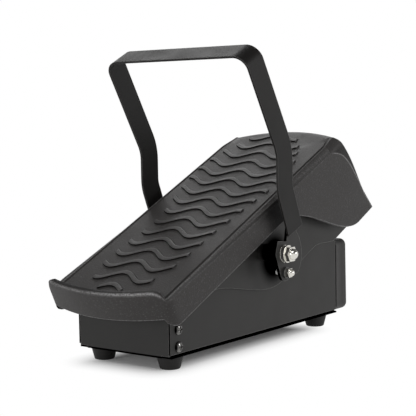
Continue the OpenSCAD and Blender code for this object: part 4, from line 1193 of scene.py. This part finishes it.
@dataclass
class Studio:
    """Floor, light and camera of the photograph."""

    camera_place: Point = (0.66836, -0.90266, 0.22206)
    camera_turn: float = 37.268
    camera_pitch: float = 4.827
    camera_roll: float = -1.05
    focal_length: float = 101.25
    sensor_width: float = 36.0
    floor_size: float = 12.0
    floor_colour: Colour = (0.93, 0.93, 0.93)
    shadow_centre: Point = (0.001, -0.035, 0.0)
    footprint: Point = (0.0296, 0.1047, 0.0)
    lift_reach: Span = (-0.0069, 0.0435)
    sky: float = 0.45
    horizon: Span = (0.12, 0.5)
    zenith: float = 0.15

    LAMPS = (
        Lamp("key", (0.6, -1.1, 1.8), (0.0, 0.0, 0.12), 1.2, 12.5),
        Lamp("side", (1.7, 0.75, 0.75), (0.0, 0.0, 0.1), 0.5, 9.0),
        Lamp("front", (-0.4, -2.0, 0.3), (0.0, 0.0, 0.1), 1.0, 12.0),
        Lamp("back", (-1.12, 1.37, 1.35), (0.0, 0.0, 0.15), 1.2, 11.5),
    )

    def build(self) -> None:
        """Makes the floor, the world, the lamps and the camera."""
        self._floor()
        self._world()
        for lamp in self.LAMPS:
            lamp.build()
        self._camera()

    def _floor(self) -> None:
        """Lays a pale floor, lifted to white for the camera except in the shadow around the footprint."""
        half = self.floor_size / 2
        mesh = bpy.data.meshes.new("floor")
        corners = [(-half, -half, 0), (half, -half, 0), (half, half, 0), (-half, half, 0)]
        mesh.from_pydata(corners, [], [(0, 1, 2, 3)])
        floor = bpy.data.objects.new("floor", mesh)
        bpy.context.scene.collection.objects.link(floor)
        material = bpy.data.materials.new("floor_paint")
        material.use_nodes = True
        graph = Graph(material.node_tree)
        graph.tree.nodes.remove(graph.find("BSDF_PRINCIPLED"))
        plain = graph.add("ShaderNodeBsdfDiffuse")
        plain.inputs["Color"].default_value = (*self.floor_colour, 1.0)
        place = graph.add("ShaderNodeTexCoord").outputs["Object"]
        for operation, value in (("SUBTRACT", self.shadow_centre), ("ABSOLUTE", None), ("SUBTRACT", self.footprint),
                                 ("MAXIMUM", (0.0, 0.0, 0.0))):
            place = graph.vector(operation, place, value).outputs["Vector"]
        away = graph.vector("LENGTH", place).outputs["Value"]
        clear = graph.ramp(away, *self.lift_reach, smooth=True)
        share = graph.math("MULTIPLY", graph.seen_directly(), clear)
        graph.choose(share, plain, graph.add("ShaderNodeEmission"), graph.find("OUTPUT_MATERIAL"))
        mesh.materials.append(material)

    def _world(self) -> None:
        """Makes a sky that is white to the eye, dims overhead in reflections, and is softer as light."""
        world = bpy.data.worlds.new("studio_sky")
        bpy.context.scene.world = world
        world.use_nodes = True
        graph = Graph(world.node_tree)
        seen, soft = graph.find("BACKGROUND"), graph.add("ShaderNodeBackground")
        for sky in (seen, soft):
            sky.inputs["Color"].default_value = (1, 1, 1, 1)
        height = graph.split(graph.add("ShaderNodeTexCoord").outputs["Generated"], "Z")
        graph.link(graph.ramp(height, *self.horizon, 1.0, self.zenith), seen.inputs["Strength"])
        soft.inputs["Strength"].default_value = self.sky
        graph.choose(graph.seen_directly(), soft, seen, graph.find("OUTPUT_WORLD"))

    def _camera(self) -> None:
        """Sets the camera fitted to the photograph's straight edges."""
        turn, pitch, roll = (math.radians(a) for a in (self.camera_turn, self.camera_pitch, self.camera_roll))
        back = Vector((math.sin(turn) * math.cos(pitch), -math.cos(turn) * math.cos(pitch), math.sin(pitch)))
        level = Vector((math.cos(turn), math.sin(turn), 0))
        upright = back.cross(level)
        right = math.cos(roll) * level + math.sin(roll) * upright
        up = -math.sin(roll) * level + math.cos(roll) * upright
        data = bpy.data.cameras.new("photo_camera")
        data.sensor_fit = "HORIZONTAL"
        data.sensor_width = self.sensor_width
        data.lens = self.focal_length
        camera = bpy.data.objects.new("photo_camera", data)
        rows = [(right[i], up[i], back[i], self.camera_place[i]) for i in range(3)]
        camera.matrix_world = Matrix((*rows, (0, 0, 0, 1)))
        bpy.context.scene.collection.objects.link(camera)
        bpy.context.scene.camera = camera
        bpy.context.scene.view_settings.view_transform = "Standard"


def main() -> None:
    """Dresses the frame, adds the pieces and sets the studio."""
    logging.basicConfig(level=logging.INFO, format="%(name)s: %(message)s")
    Studio().build()
    dress_nodes()
    TreadCover().build()
    RearCap().build()
    ReturnSpring().build()


if __name__ == "__main__":
    main()
